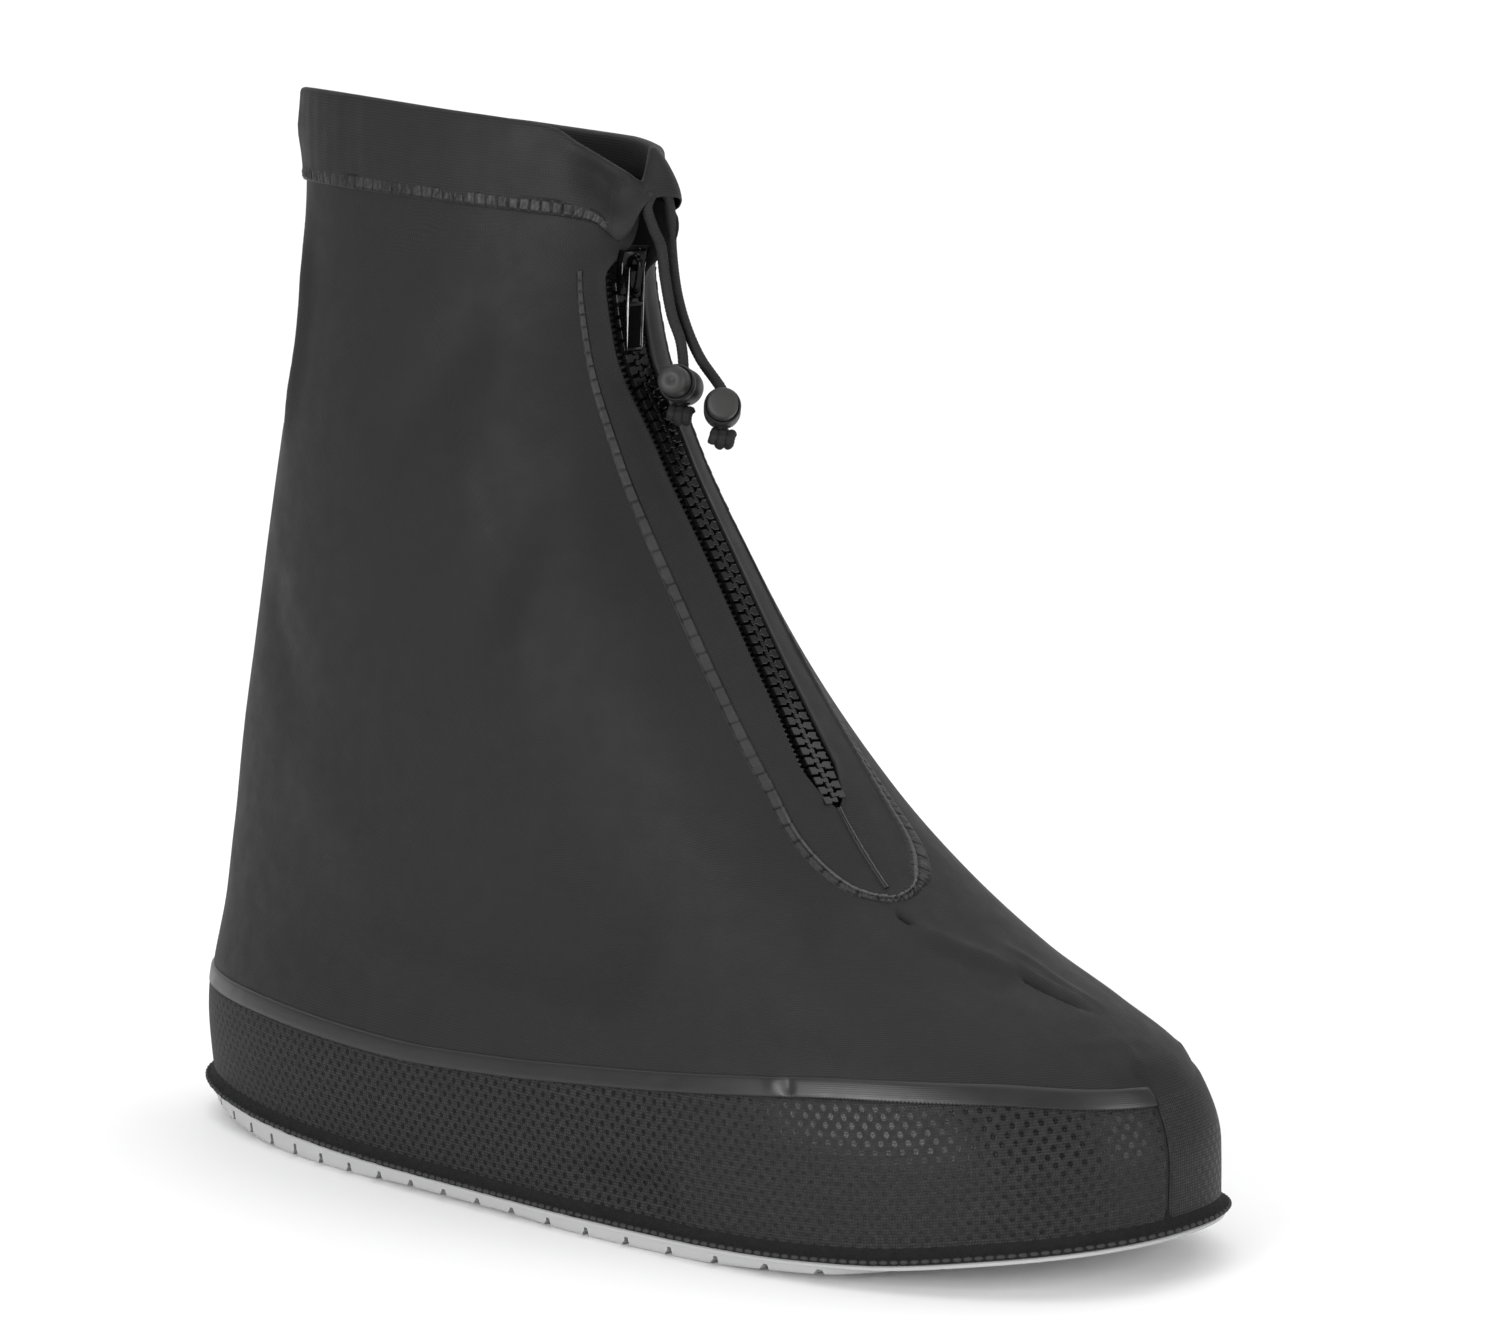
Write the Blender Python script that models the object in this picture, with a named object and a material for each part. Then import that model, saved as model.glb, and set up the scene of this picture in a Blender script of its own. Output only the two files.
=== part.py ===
"""Rain overshoe for the right foot: a coated fabric boot cover worn over a shoe.

A front zip opens the shaft, a drawn hem closes the collar, a dotted rand band runs round the foot
and a thin cleated sole closes the bottom.  Frame in metres: +X to the toe, +Y to the wearer's left,
+Z up, origin on the floor under the middle of the sole.  Sizes and tables below are in millimetres.
"""

import functools
import math
from typing import NamedTuple

import bmesh
import bpy
from mathutils import Matrix, Vector

MM = 0.001

# Fabric and fit
WALL = 1.2
GAP = 0.3
AROUND = 48
FRONT_CROWD = 0.35

# Collar: the rim falls towards the front and rises to the outer side
RIM_HEIGHT = 262.0
RIM_START = 200.0
RIM_FALL = 8.0
RIM_SIDE_LIFT = 4.5
RIM_GROWTH = 1.3
RIM_DIP = 9.0
DIP_FROM_DEG = 56.0
DIP_LOW_DEG = 18.0
DIP_TO_DEG = -2.0

# Hem casing folded over the rim, with an arched cord mouth at the front
HEM_HEIGHT = 241.0
HEM_CAP = 1.2
HEM_THICK = 1.0
HEM_BULGE = 1.0
MOUTH_RISE = 7.5
MOUTH_DEPTH = 5.4
MOUTH_AT_DEG = 4.0
MOUTH_HALF_DEG = 30.0
MOUTH_POWER = 1.2

# Foot: waist pinch, toe turned to the inner side
WAIST_AT = -35.0
WAIST_SPREAD = 45.0
WAIST_LATERAL = 0.05
WAIST_MEDIAL = 0.10
WAIST_TOP = 70.0
TOE_TURN = 5.0
TOE_TURN_FROM = 20.0
TOE_TURN_RUN = 130.0
TOE_TURN_MOST = 1.2
TOE_TURN_TOP = 110.0
FADE_RUN = 60.0
SOLE_LINE = 10.0
BLEND_HEIGHT = 28.0

# Sole under the flange: a lip, lugs nearly flush with it, set well in under the raised toe
LIP_OUT = 2.7
LIP_THICK = 1.3
LIP_ROUND = 0.5
LUG_OUT = 2.0
TREAD_OUT = 0.6
UNDERCUT = 0.2
TOE_INSET = 7.0
TOE_INSET_FROM = 84.0
TOE_INSET_RUN = 22.0
GROOVE_WIDE = 1.4
GROOVE_FLOOR = 0.2
GROOVE_SPAN = 140.0
GROOVE_BELOW = 4.0
GROOVE_FIRST = -131.0
GROOVE_LAST = 128.0
GROOVE_PITCH_HEEL = 10.0
GROOVE_PITCH_TOE = 15.5

# Zip
SLOT_HALF = 5.4
SLOT_TOP = 246.0
SLOT_BOTTOM = 101.0
SLOT_TAPER = 8.0
SLOT_POINT = 0.03
SLOT_POWER = 0.6
SLOT_DEPTH = 7.0
SLOT_STATIONS = 36
TAPE_HALF = 11.0
TAPE_THICK = 0.7
TAPE_TOP = 236.0
TAPE_BOTTOM = 95.0
TAPE_STATIONS = 30
TAPE_ACROSS = 5
CHAIN_HALF = 2.8
CHAIN_TOP = 0.7
CHAIN_BOTTOM = 105.0
CHAIN_STATIONS = 30
SLIDER_HEIGHT = 226.0
SLIDER_LONG = 11.0
SLIDER_HALF = 4.0
SLIDER_PLATE = 1.0
SLIDER_SIDE = 0.9
SLIDER_FOOT = -0.4
BRIDGE_HALF = 0.8
BRIDGE_REACH = 4.4
BRIDGE_RISE = 3.2
BRIDGE_BAR = 1.0
BRIDGE_POST = 1.1
BRIDGE_SINK = 0.4
WINDOW_REACH = 3.0
PIN_LIFT = 1.4
PIN_RADIUS = 0.6
PULL_LONG = 20.0
PULL_HALF = 3.1
PULL_THICK = 1.1
PULL_ARM = 0.8
PULL_CORNER = 1.0
PULL_WINDOW = 8.0
PULL_REST = 0.9

# Raised seam round the zip
SEAM_OFF = 0.42
SEAM_HALF = 1.4
SEAM_THICK = 0.7
SEAM_CROWN = 0.75
SEAM_STATIONS = 64

# Draw cord, locks and knots
CORD_RADIUS = 1.5
CORD_POINTS = 24
LOCK_RADIUS = 4.5
LOCK_CHAMFER = 1.0
LOCK_BACK = 4.7
LOCK_MOUTH = 7.5
LOCK_BORE = 3.95
BORE_FROM = 2.5
BUTTON_RADIUS = 3.75
BUTTON_FROM = 5.6
BUTTON_TIP = 13.0
BUTTON_DOME = 1.6
DOME_STEPS = 3
HOLE_RADIUS = 1.9
HOLE_LONG = 14.0
HOLE_SIDES = 14
KNOT_RADIUS = 2.9
TURNS = 18


class Section(NamedTuple):
    """One level cut of the upper's outer face."""

    height: float
    back: float
    front: float
    widest: float
    lateral: float
    medial: float
    back_power: float
    front_power: float


class Level(NamedTuple):
    """Heights along the shoe: flange, top of the rand band and floor side of the sole."""

    along: float
    flange: float
    band_top: float
    tread: float


class Arc(NamedTuple):
    """Distance of a line from the front centre, measured round the section, outer side positive."""

    height: float
    arc: float


class Ring(NamedTuple):
    """One ring of a band: what its height is counted from, its rise and its distance off the upper."""

    anchor: str
    rise: float
    off: float


class Fold(NamedTuple):
    """One ring of the hem: share of its height, thickness off the upper, rise over the rim, mouth share."""

    share: float
    off: float
    cap: float
    spread: float


class Lock(NamedTuple):
    """A barrel lock: middle of its cord hole and the way its button points."""

    tag: str
    hole: tuple
    axis: tuple


SECTIONS = (
    Section(10, -147, 147, 40, 54.4, 54.2, 2.30, 2.30),
    Section(28, -149, 147, 40, 55.2, 55.0, 2.30, 2.25),
    Section(46, -148, 141, 38, 52.5, 52, 2.25, 2.15),
    Section(58, -147, 126, 30, 49, 48, 2.20, 2.05),
    Section(68, -146, 106, 22, 47, 46, 2.15, 2.00),
    Section(82, -144, 83, 10, 45, 44, 2.10, 2.00),
    Section(100, -141, 59, -4, 43, 42, 2.10, 2.00),
    Section(124, -136, 35, -18, 41, 40, 2.10, 2.00),
    Section(150, -131, 16, -34, 38, 37, 2.10, 2.00),
    Section(180, -125, -2, -48, 34, 33, 2.10, 2.00),
    Section(206, -120, -12, -55, 30, 29, 2.10, 2.00),
    Section(224, -119, -14, -57, 27, 26, 2.10, 2.00),
    Section(240, -119, -9, -57, 25, 24, 2.10, 2.00),
    Section(262, -120, -5, -58, 24, 23, 2.10, 2.00),
)

LEVELS = (
    Level(-152, 9.2, 38.5, 5.0),
    Level(-138, 8.5, 38.5, 3.4),
    Level(-119, 7.4, 38.4, 1.6),
    Level(-104, 6.6, 38.2, 0.4),
    Level(-92, 6.1, 37.9, 0.0),
    Level(-66, 5.3, 37.2, 0.0),
    Level(-50, 5.0, 37.0, 0.6),
    Level(-10, 4.8, 39.0, 0.6),
    Level(10, 4.8, 40.7, 0.0),
    Level(50, 4.8, 44.1, 0.0),
    Level(66, 4.9, 45.5, 0.7),
    Level(95, 6.0, 47.5, 2.6),
    Level(125, 9.5, 48.0, 6.8),
    Level(152, 13.0, 45.0, 10.6),
)

ZIP_LINE = (
    Arc(84, 15),
    Arc(102, 8.8),
    Arc(114, 4.8),
    Arc(126, 1.8),
    Arc(142, 0),
    Arc(160, -0.6),
    Arc(182, 0.3),
    Arc(205, 3.5),
    Arc(242, 4.2),
)

SEAM_ROUTE = (
    Arc(226, 15.5),
    Arc(182, 16.0),
    Arc(136, 18.0),
    Arc(110, 21.5),
    Arc(95, 25.0),
    Arc(86.5, 23.5),
    Arc(83.5, 17.0),
    Arc(84.5, 9.0),
    Arc(88.5, 0.0),
    Arc(95, -7.0),
    Arc(108, -12.0),
    Arc(124, -16.5),
    Arc(150, -18.0),
    Arc(182, -16.0),
    Arc(226, -15.0),
)

FOOT_RINGS = (
    Ring("flange", 0.0, 0.0),
    Ring("flange", 6.0, 0.0),
    Ring("middle", -5.0, 0.0),
    Ring("middle", 5.0, 0.0),
    Ring("top", -4.8, 0.0),
    Ring("top", 0.0, 0.0),
)
BAND_RINGS = (
    Ring("flange", 0.0, 4.0),
    Ring("flange", 1.3, 4.0),
    Ring("flange", 2.4, 2.3),
    Ring("flange", 6.0, 1.7),
    Ring("middle", -5.0, 1.8),
    Ring("middle", 5.0, 1.8),
    Ring("top", -5.2, 1.7),
    Ring("top", -4.8, 1.2),
    Ring("top", 0.0, 1.0),
)
UPPER_HEIGHTS = (
    54, 60, 66, 72, 77, 82, 88, 94, 101, 109, 118, 128, 139, 151, 165, 180, 195, 209, 221, 231,
)
TOP_SHARES = (0.33, 0.66, 1.0)
INNER_EVERY = 2

HEM_FOLDS = (
    Fold(0.0, GAP + HEM_THICK, 0.0, 1.0),
    Fold(0.25, GAP + HEM_THICK + HEM_BULGE, 0.0, 0.8),
    Fold(0.6, GAP + HEM_THICK + HEM_BULGE, 0.0, 0.45),
    Fold(0.9, GAP + HEM_THICK + 0.3, 0.0, 0.15),
    Fold(1.0, GAP + 0.4, GAP + 0.6, 0.0),
    Fold(1.0, -WALL, GAP + 0.6, 0.0),
    Fold(1.0, -WALL, GAP, 0.0),
    Fold(1.0, GAP, GAP, 0.0),
    Fold(0.9, GAP, 0.0, 0.15),
    Fold(0.6, GAP, 0.0, 0.45),
    Fold(0.25, GAP, 0.0, 0.8),
    Fold(0.0, GAP, 0.0, 1.0),
)

CORD_A = (
    (-5.4, -4.2, 243.0),
    (-6.4, -5.0, 239.5),
    (-7.0, -2.2, 234.5),
    (-7.2, 1.0, 229.5),
    (-7.2, 2.4, 222.0),
    (-6.8, 4.4, 213.0),
    (-5.0, 5.6, 206.5),
)
CORD_B = (
    (-5.6, 1.0, 243.5),
    (-6.6, 3.8, 237.5),
    (-8.6, 6.6, 228.0),
    (-8.4, 8.2, 218.0),
    (-6.2, 9.2, 209.5),
    (-2.2, 9.8, 202.0),
)
LOCKS = (
    Lock("a", (-2.6, 3.5, 196.0), (0.45, -0.85, 0.24)),
    Lock("b", (5.8, 8.4, 190.5), (0.629, -0.736, 0.25)),
)


@functools.lru_cache(maxsize=None)
def slopes(rows, column):
    """Slopes of a smooth line through a table column that never swings past its rows."""
    keys = [row[0] for row in rows]
    values = [getattr(row, column) for row in rows]
    steps = [(b - a) / (y - x) for a, b, x, y in zip(values, values[1:], keys, keys[1:])]
    inner = [0.0 if a * b <= 0 else 2 * a * b / (a + b) for a, b in zip(steps, steps[1:])]
    return keys, values, [steps[0]] + inner + [steps[-1]]


def read(rows, column, at):
    """Value of a table column at a key, on the smooth line through its rows."""
    keys, values, lean = slopes(rows, column)
    at = min(max(at, keys[0]), keys[-1])
    i = 0
    while i < len(keys) - 2 and at > keys[i + 1]:
        i += 1
    span = keys[i + 1] - keys[i]
    u = (at - keys[i]) / span
    v = 1 - u
    start = v * v * ((1 + 2 * u) * values[i] + u * span * lean[i])
    end = u * u * ((3 - 2 * u) * values[i + 1] - v * span * lean[i + 1])
    return start + end


def clamp(value, low=0.0, high=1.0):
    """Value held between two limits."""
    return min(max(value, low), high)


def ease(share):
    """Smooth step from 0 to 1."""
    share = clamp(share)
    return share * share * (3 - 2 * share)


def level(column, along):
    """Height of a named level at a place along the shoe."""
    return read(LEVELS, column, along)


def signed_power(value, power):
    """Power of a number that keeps its sign."""
    return math.copysign(abs(value) ** power, value)


def form(height, angle):
    """Point of the upper's outer face; the angle runs from the toe round the outer side."""
    cut = {name: read(SECTIONS, name, height) for name in Section._fields[1:]}
    cosine = math.cos(angle)
    sine = math.sin(angle)
    power = 2 / (cut["front_power"] if cosine >= 0 else cut["back_power"])
    length = cut["front"] - cut["widest"] if cosine >= 0 else cut["widest"] - cut["back"]
    half = cut["lateral"] if sine >= 0 else cut["medial"]
    x = cut["widest"] + length * signed_power(cosine, power)
    y = -half * signed_power(sine, power)
    low = clamp((WAIST_TOP - height) / FADE_RUN)
    pinch = math.exp(-((x - WAIST_AT) / WAIST_SPREAD) ** 2)
    y *= 1 - low * pinch * (WAIST_LATERAL if y < 0 else WAIST_MEDIAL)
    turn = clamp((x - TOE_TURN_FROM) / TOE_TURN_RUN, 0, TOE_TURN_MOST) ** 2
    y += TOE_TURN * turn * clamp((TOE_TURN_TOP - height) / FADE_RUN)
    lift = max((height - RIM_START) / (RIM_HEIGHT - RIM_START), 0.0) ** RIM_GROWTH
    forward = (x - cut["back"]) / (cut["front"] - cut["back"])
    z = height - RIM_FALL * lift * forward - RIM_SIDE_LIFT * lift * y / half
    foot = clamp((BLEND_HEIGHT - height) / (BLEND_HEIGHT - SOLE_LINE))
    z += foot * (level("flange", x) - SOLE_LINE)
    return Vector((x, y, z))


def normal_at(height, angle):
    """Outward direction of the upper's face."""
    turn = 0.01
    rise = 0.5
    height = max(height, SOLE_LINE + rise)
    along = form(height, angle + turn) - form(height, angle - turn)
    up = form(height + rise, angle) - form(height - rise, angle)
    return up.cross(along).normalized()


def skin(height, angle, off=0.0):
    """Point at a set distance off the upper's outer face, inside if negative."""
    return form(height, angle) + normal_at(height, angle) * off


def angles():
    """Angles round a ring, closer together at the front."""
    shares = [2 * math.pi * i / AROUND for i in range(AROUND)]
    return [share - FRONT_CROWD * math.sin(share) for share in shares]


def signed(angle):
    """Angle from the front, in degrees, outer side positive."""
    degrees = math.degrees(angle) % 360
    return degrees if degrees <= 180 else degrees - 360


def rim_height(angle):
    """Height of the folded rim, which dips beside the front on the outer side."""
    place = signed(angle)
    if place >= DIP_LOW_DEG:
        share = (DIP_FROM_DEG - place) / (DIP_FROM_DEG - DIP_LOW_DEG)
    else:
        share = (place - DIP_TO_DEG) / (DIP_LOW_DEG - DIP_TO_DEG)
    return RIM_HEIGHT - RIM_DIP * ease(share)


def mouth(angle):
    """Share of the cord mouth at an angle: 1 in its middle, 0 outside."""
    place = (signed(angle) - MOUTH_AT_DEG) / MOUTH_HALF_DEG
    return math.cos(place * math.pi / 2) ** MOUTH_POWER if abs(place) < 1 else 0.0


def hem_height(angle):
    """Height of the casing's lower edge, arched over the cord mouth."""
    return HEM_HEIGHT + MOUTH_RISE * mouth(angle)


def angle_at(height, arc):
    """Angle that lies a set distance round the section from the front centre."""
    steps = 24
    nudge = 0.005
    angle = 0.0
    for _ in range(steps):
        pace = (form(height, angle + nudge) - form(height, angle - nudge)).length / (2 * nudge)
        angle += arc / steps / pace
    return angle


def zip_frame(height):
    """Frame on the zip line: point, way up the line, sideways to the outer side and outward."""
    def place(at):
        return angle_at(at, read(ZIP_LINE, "arc", at))

    point = form(height, place(height))
    outward = normal_at(height, place(height))
    up = form(height + 1, place(height + 1)) - form(height - 1, place(height - 1))
    up = (up - outward * up.dot(outward)).normalized()
    return point, up, outward.cross(up), outward


def smooth_path(points, count):
    """Evenly numbered points on a smooth curve through route points."""
    points = [Vector(point) for point in points]
    ends = [2 * points[0] - points[1]] + points + [2 * points[-1] - points[-2]]
    path = []
    for k in range(count):
        place = k / (count - 1) * (len(points) - 1)
        i = min(int(place), len(points) - 2)
        u = place - i
        a, b, c, d = ends[i:i + 4]
        curve = (2 * b) + (c - a) * u + (2 * a - 5 * b + 4 * c - d) * u ** 2
        curve += (3 * b - a - 3 * c + d) * u ** 3
        path.append(curve / 2)
    return path


def finish(name, color, roughness, metallic=0.0):
    """Plain material of one piece."""
    material = bpy.data.materials.new(name)
    material.use_nodes = True
    shader = material.node_tree.nodes["Principled BSDF"]
    shader.inputs["Base Color"].default_value = (*color, 1.0)
    shader.inputs["Roughness"].default_value = roughness
    shader.inputs["Metallic"].default_value = metallic
    return material


def add_object(name, data, material):
    """Object of one piece in the scene."""
    data.materials.append(material)
    piece = bpy.data.objects.new(name, data)
    bpy.context.scene.collection.objects.link(piece)
    return piece


def add_mesh(name, bm, material, origin=None):
    """Mesh object from millimetre geometry, its origin at a chosen point."""
    origin = origin or Vector((0, 0, 0))
    bmesh.ops.translate(bm, verts=bm.verts, vec=-origin)
    bmesh.ops.scale(bm, verts=bm.verts, vec=(MM, MM, MM))
    bmesh.ops.recalc_face_normals(bm, faces=bm.faces)
    mesh = bpy.data.meshes.new(name)
    bm.to_mesh(mesh)
    bm.free()
    piece = add_object(name, mesh, material)
    piece.location = origin * MM
    return piece


def cut_away(piece, cutter):
    """Live cut of one piece by a hidden form."""
    cutter.hide_render = True
    cutter.display_type = "WIRE"
    cut = piece.modifiers.new("cut_" + cutter.name, "BOOLEAN")
    cut.operation = "DIFFERENCE"
    cut.solver = "EXACT"
    cut.object = cutter


def bridge(bm, ring_a, ring_b):
    """Faces between two rings of vertices."""
    for i in range(len(ring_a)):
        j = (i + 1) % len(ring_a)
        bm.faces.new((ring_a[i], ring_a[j], ring_b[j], ring_b[i]))


def loft(rings, joined):
    """Body through rings of points: joined back to its first ring, or capped at both ends."""
    bm = bmesh.new()
    made = [[bm.verts.new(point) for point in ring] for ring in rings]
    for ring_a, ring_b in zip(made, made[1:]):
        bridge(bm, ring_a, ring_b)
    if joined:
        bridge(bm, made[-1], made[0])
    else:
        bm.faces.new(made[0])
        bm.faces.new(made[-1])
    return bm


def foot_point(ring, angle):
    """Point of a ring of the foot, whose height is counted from the flange or the band's top."""
    along = form(BLEND_HEIGHT, angle).x
    flange = level("flange", along)
    top = level("band_top", along)
    rise = {"flange": flange, "middle": (flange + top) / 2, "top": top}[ring.anchor] + ring.rise
    height = rise
    if rise < BLEND_HEIGHT:
        height = SOLE_LINE + (rise - flange) * (BLEND_HEIGHT - SOLE_LINE) / (BLEND_HEIGHT - flange)
    point = skin(height, angle, ring.off)
    if ring.anchor == "flange":
        point.z = level("flange", point.x) + ring.rise
    return point


def build_upper(material):
    """Hollow fabric upper, open at the collar, underneath and along the zip."""
    def top_row(angle, share):
        rim = rim_height(angle) - HEM_CAP
        return UPPER_HEIGHTS[-1] + (rim - UPPER_HEIGHTS[-1]) * share

    def wall(off, heights):
        rings = [[foot_point(ring._replace(off=off), angle) for angle in angles()] for ring in FOOT_RINGS]
        rings += [[skin(height, angle, off) for angle in angles()] for height in heights]
        rings += [[skin(top_row(angle, share), angle, off) for angle in angles()] for share in TOP_SHARES]
        return rings

    inner = wall(-WALL, UPPER_HEIGHTS[::INNER_EVERY])
    upper = add_mesh("upper", loft(wall(0.0, UPPER_HEIGHTS) + inner[::-1], True), material)
    rings = []
    for k in range(SLOT_STATIONS):
        share = (1 - math.cos(math.pi * k / (SLOT_STATIONS - 1))) / 2
        height = SLOT_BOTTOM + (SLOT_TOP - SLOT_BOTTOM) * share
        point, _, side, outward = zip_frame(height)
        low_end = clamp((height - SLOT_BOTTOM) / SLOT_TAPER, SLOT_POINT)
        high_end = clamp((SLOT_TOP - height) / SLOT_TAPER, SLOT_POINT)
        edge = side * SLOT_HALF * (low_end * high_end) ** SLOT_POWER
        deep = outward * SLOT_DEPTH
        rings.append([point - edge - deep, point + edge - deep, point + edge + deep, point - edge + deep])
    slot = add_mesh("zip_slot_cutter", loft(rings, False), material)
    cut_away(upper, slot)


def build_band(material):
    """Dotted rand band with a stepped top strip and a flange at its foot, laid on the upper."""
    inside = [ring._replace(off=GAP) for ring in FOOT_RINGS[::-1]]
    rings = [[foot_point(ring, angle) for angle in angles()] for ring in list(BAND_RINGS) + inside]
    add_mesh("rand_band", loft(rings, True), material)


def build_hem(material):
    """Folded hem over the rim, standing off at the front as the cord mouth."""
    def ring(fold):
        points = []
        for angle in angles():
            low = hem_height(angle)
            height = low + (rim_height(angle) - HEM_CAP - low) * fold.share + fold.cap
            points.append(skin(height, angle, fold.off + MOUTH_DEPTH * mouth(angle) * fold.spread))
        return points

    rings = [ring(fold) for fold in HEM_FOLDS]
    add_mesh("hem_casing", loft(rings, True), material)


def outline(angle, off):
    """Point of the sole's plan outline, moved out level by a set distance."""
    point = form(SOLE_LINE, angle)
    along = form(SOLE_LINE, angle + 0.01) - form(SOLE_LINE, angle - 0.01)
    out = Vector((0, 0, 1)).cross(along).normalized()
    return point + Vector((out.x, out.y, 0)) * off


def groove_places():
    """Places of the tread grooves, closer together at the heel."""
    places = []
    place = GROOVE_FIRST
    while place < GROOVE_LAST:
        places.append(place)
        share = (place - GROOVE_FIRST) / (GROOVE_LAST - GROOVE_FIRST)
        place += GROOVE_PITCH_HEEL + (GROOVE_PITCH_TOE - GROOVE_PITCH_HEEL) * share
    return places


def build_outsole(material):
    """Moulded sole: a lip under the flange, an inset side and cross lugs on the floor."""
    def ring(off, base, drop, toe_inset=0.0):
        points = []
        for angle in angles():
            inset = toe_inset * ease((form(SOLE_LINE, angle).x - TOE_INSET_FROM) / TOE_INSET_RUN)
            point = outline(angle, off - inset)
            points.append(Vector((point.x, point.y, level(base, point.x) - drop)))
        return points

    lip_low = GAP + LIP_THICK
    rings = [
        ring(LIP_OUT - LIP_ROUND, "flange", GAP),
        ring(LIP_OUT, "flange", GAP + LIP_ROUND),
        ring(LIP_OUT, "flange", lip_low),
        ring(LUG_OUT, "flange", lip_low + UNDERCUT, TOE_INSET),
        ring(TREAD_OUT, "tread", 0.0, TOE_INSET),
    ]
    bm = bmesh.new()
    made = [[bm.verts.new(point) for point in points] for points in rings]
    for ring_a, ring_b in zip(made, made[1:]):
        bridge(bm, ring_a, ring_b)
    half = AROUND // 2
    for verts in (made[0], made[-1]):
        for i in range(half):
            face = [verts[i], verts[i + 1], verts[(AROUND - i - 1) % AROUND], verts[(AROUND - i) % AROUND]]
            bm.faces.new(list(dict.fromkeys(face)))
    sole = add_mesh("outsole", bm, material)
    cutter = bmesh.new()
    for place in groove_places():
        floor = level("tread", place)
        deep = level("flange", place) - GAP - LIP_THICK - floor - GROOVE_FLOOR
        box = bmesh.ops.create_cube(cutter, size=1.0)["verts"]
        bmesh.ops.scale(cutter, verts=box, vec=(GROOVE_WIDE, GROOVE_SPAN, deep + GROOVE_BELOW))
        bmesh.ops.translate(cutter, verts=box, vec=(place, 0, floor + (deep - GROOVE_BELOW) / 2))
    cut_away(sole, add_mesh("tread_cutter", cutter, material))


def strip(frames, half, low, high):
    """Band of even width laid along frames, between two distances off the face."""
    rings = []
    for point, _, side, outward in frames:
        edge = side * half
        rings.append([point - edge + outward * low, point + edge + outward * low,
                      point + edge + outward * high, point - edge + outward * high])
    return loft(rings, False)


def build_zip(tape, chain):
    """Zip tape behind the slot and the closed chain standing on it."""
    def heights(low, high, count):
        return [low + (high - low) * k / (count - 1) for k in range(count)]

    tape_top = -WALL - GAP
    rings = []
    shares = [2 * k / (TAPE_ACROSS - 1) - 1 for k in range(TAPE_ACROSS)]
    for height in heights(TAPE_BOTTOM, TAPE_TOP, TAPE_STATIONS):
        middle = read(ZIP_LINE, "arc", height)
        places = [angle_at(height, middle + TAPE_HALF * share) for share in shares]
        under = [skin(height, place, tape_top - TAPE_THICK) for place in places]
        rings.append([skin(height, place, tape_top) for place in places] + under[::-1])
    add_mesh("zip_tape", loft(rings, False), tape)
    frames = [zip_frame(height) for height in heights(CHAIN_BOTTOM, SLIDER_HEIGHT, CHAIN_STATIONS)]
    add_mesh("zip_chain", strip(frames, CHAIN_HALF, tape_top + GAP, CHAIN_TOP), chain)


def block(bm, frame, size_from, size_to):
    """Box between two corners given as (up, side, out) in a frame."""
    point, up, side, outward = frame
    turn = Matrix((up, side, outward)).transposed().to_4x4()
    middle = [(a + b) / 2 for a, b in zip(size_from, size_to)]
    spans = [b - a for a, b in zip(size_from, size_to)]
    verts = bmesh.ops.create_cube(bm, size=1.0)["verts"]
    bmesh.ops.scale(bm, verts=verts, vec=spans)
    bmesh.ops.translate(bm, verts=verts, vec=middle)
    bmesh.ops.transform(bm, matrix=Matrix.Translation(point) @ turn, verts=verts)


def slider_frame():
    """Frame of the slider, on the straight line between the chain at its two ends."""
    half = SLIDER_LONG / 2
    low = zip_frame(SLIDER_HEIGHT - half)[0]
    high = zip_frame(SLIDER_HEIGHT + half)[0]
    outward = zip_frame(SLIDER_HEIGHT)[3]
    up = (high - low).normalized()
    outward = (outward - up * outward.dot(up)).normalized()
    return (low + high) / 2, up, outward.cross(up), outward


def pull_frame():
    """Frame of the pull: middle of its pin, the way it hangs along the chain, its axis and outward."""
    point, up, side, outward = slider_frame()
    plate_top = CHAIN_TOP + GAP + SLIDER_PLATE
    pin = point + up * PIN_LIFT + outward * (plate_top + (BRIDGE_RISE - BRIDGE_BAR) / 2)
    low, _, _, low_out = zip_frame(SLIDER_HEIGHT + PIN_LIFT - PULL_LONG)
    hang = low + low_out * (CHAIN_TOP + PULL_THICK / 2 + PULL_REST) - pin
    hang = (hang - side * hang.dot(side)).normalized()
    return pin, hang, side, hang.cross(side)


def turned(profile, segments):
    """Body turned about its own Z from (radius, height) pairs that start and end on the axis."""
    bm = bmesh.new()
    verts = [bm.verts.new((radius, 0, height)) for radius, height in profile]
    edges = [bm.edges.new(pair) for pair in zip(verts, verts[1:])]
    bmesh.ops.spin(bm, geom=verts + edges, cent=(0, 0, 0), axis=(0, 0, 1), angle=2 * math.pi,
                   steps=segments, use_duplicate=False)
    bmesh.ops.remove_doubles(bm, verts=bm.verts, dist=0.01)
    return bm


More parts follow.
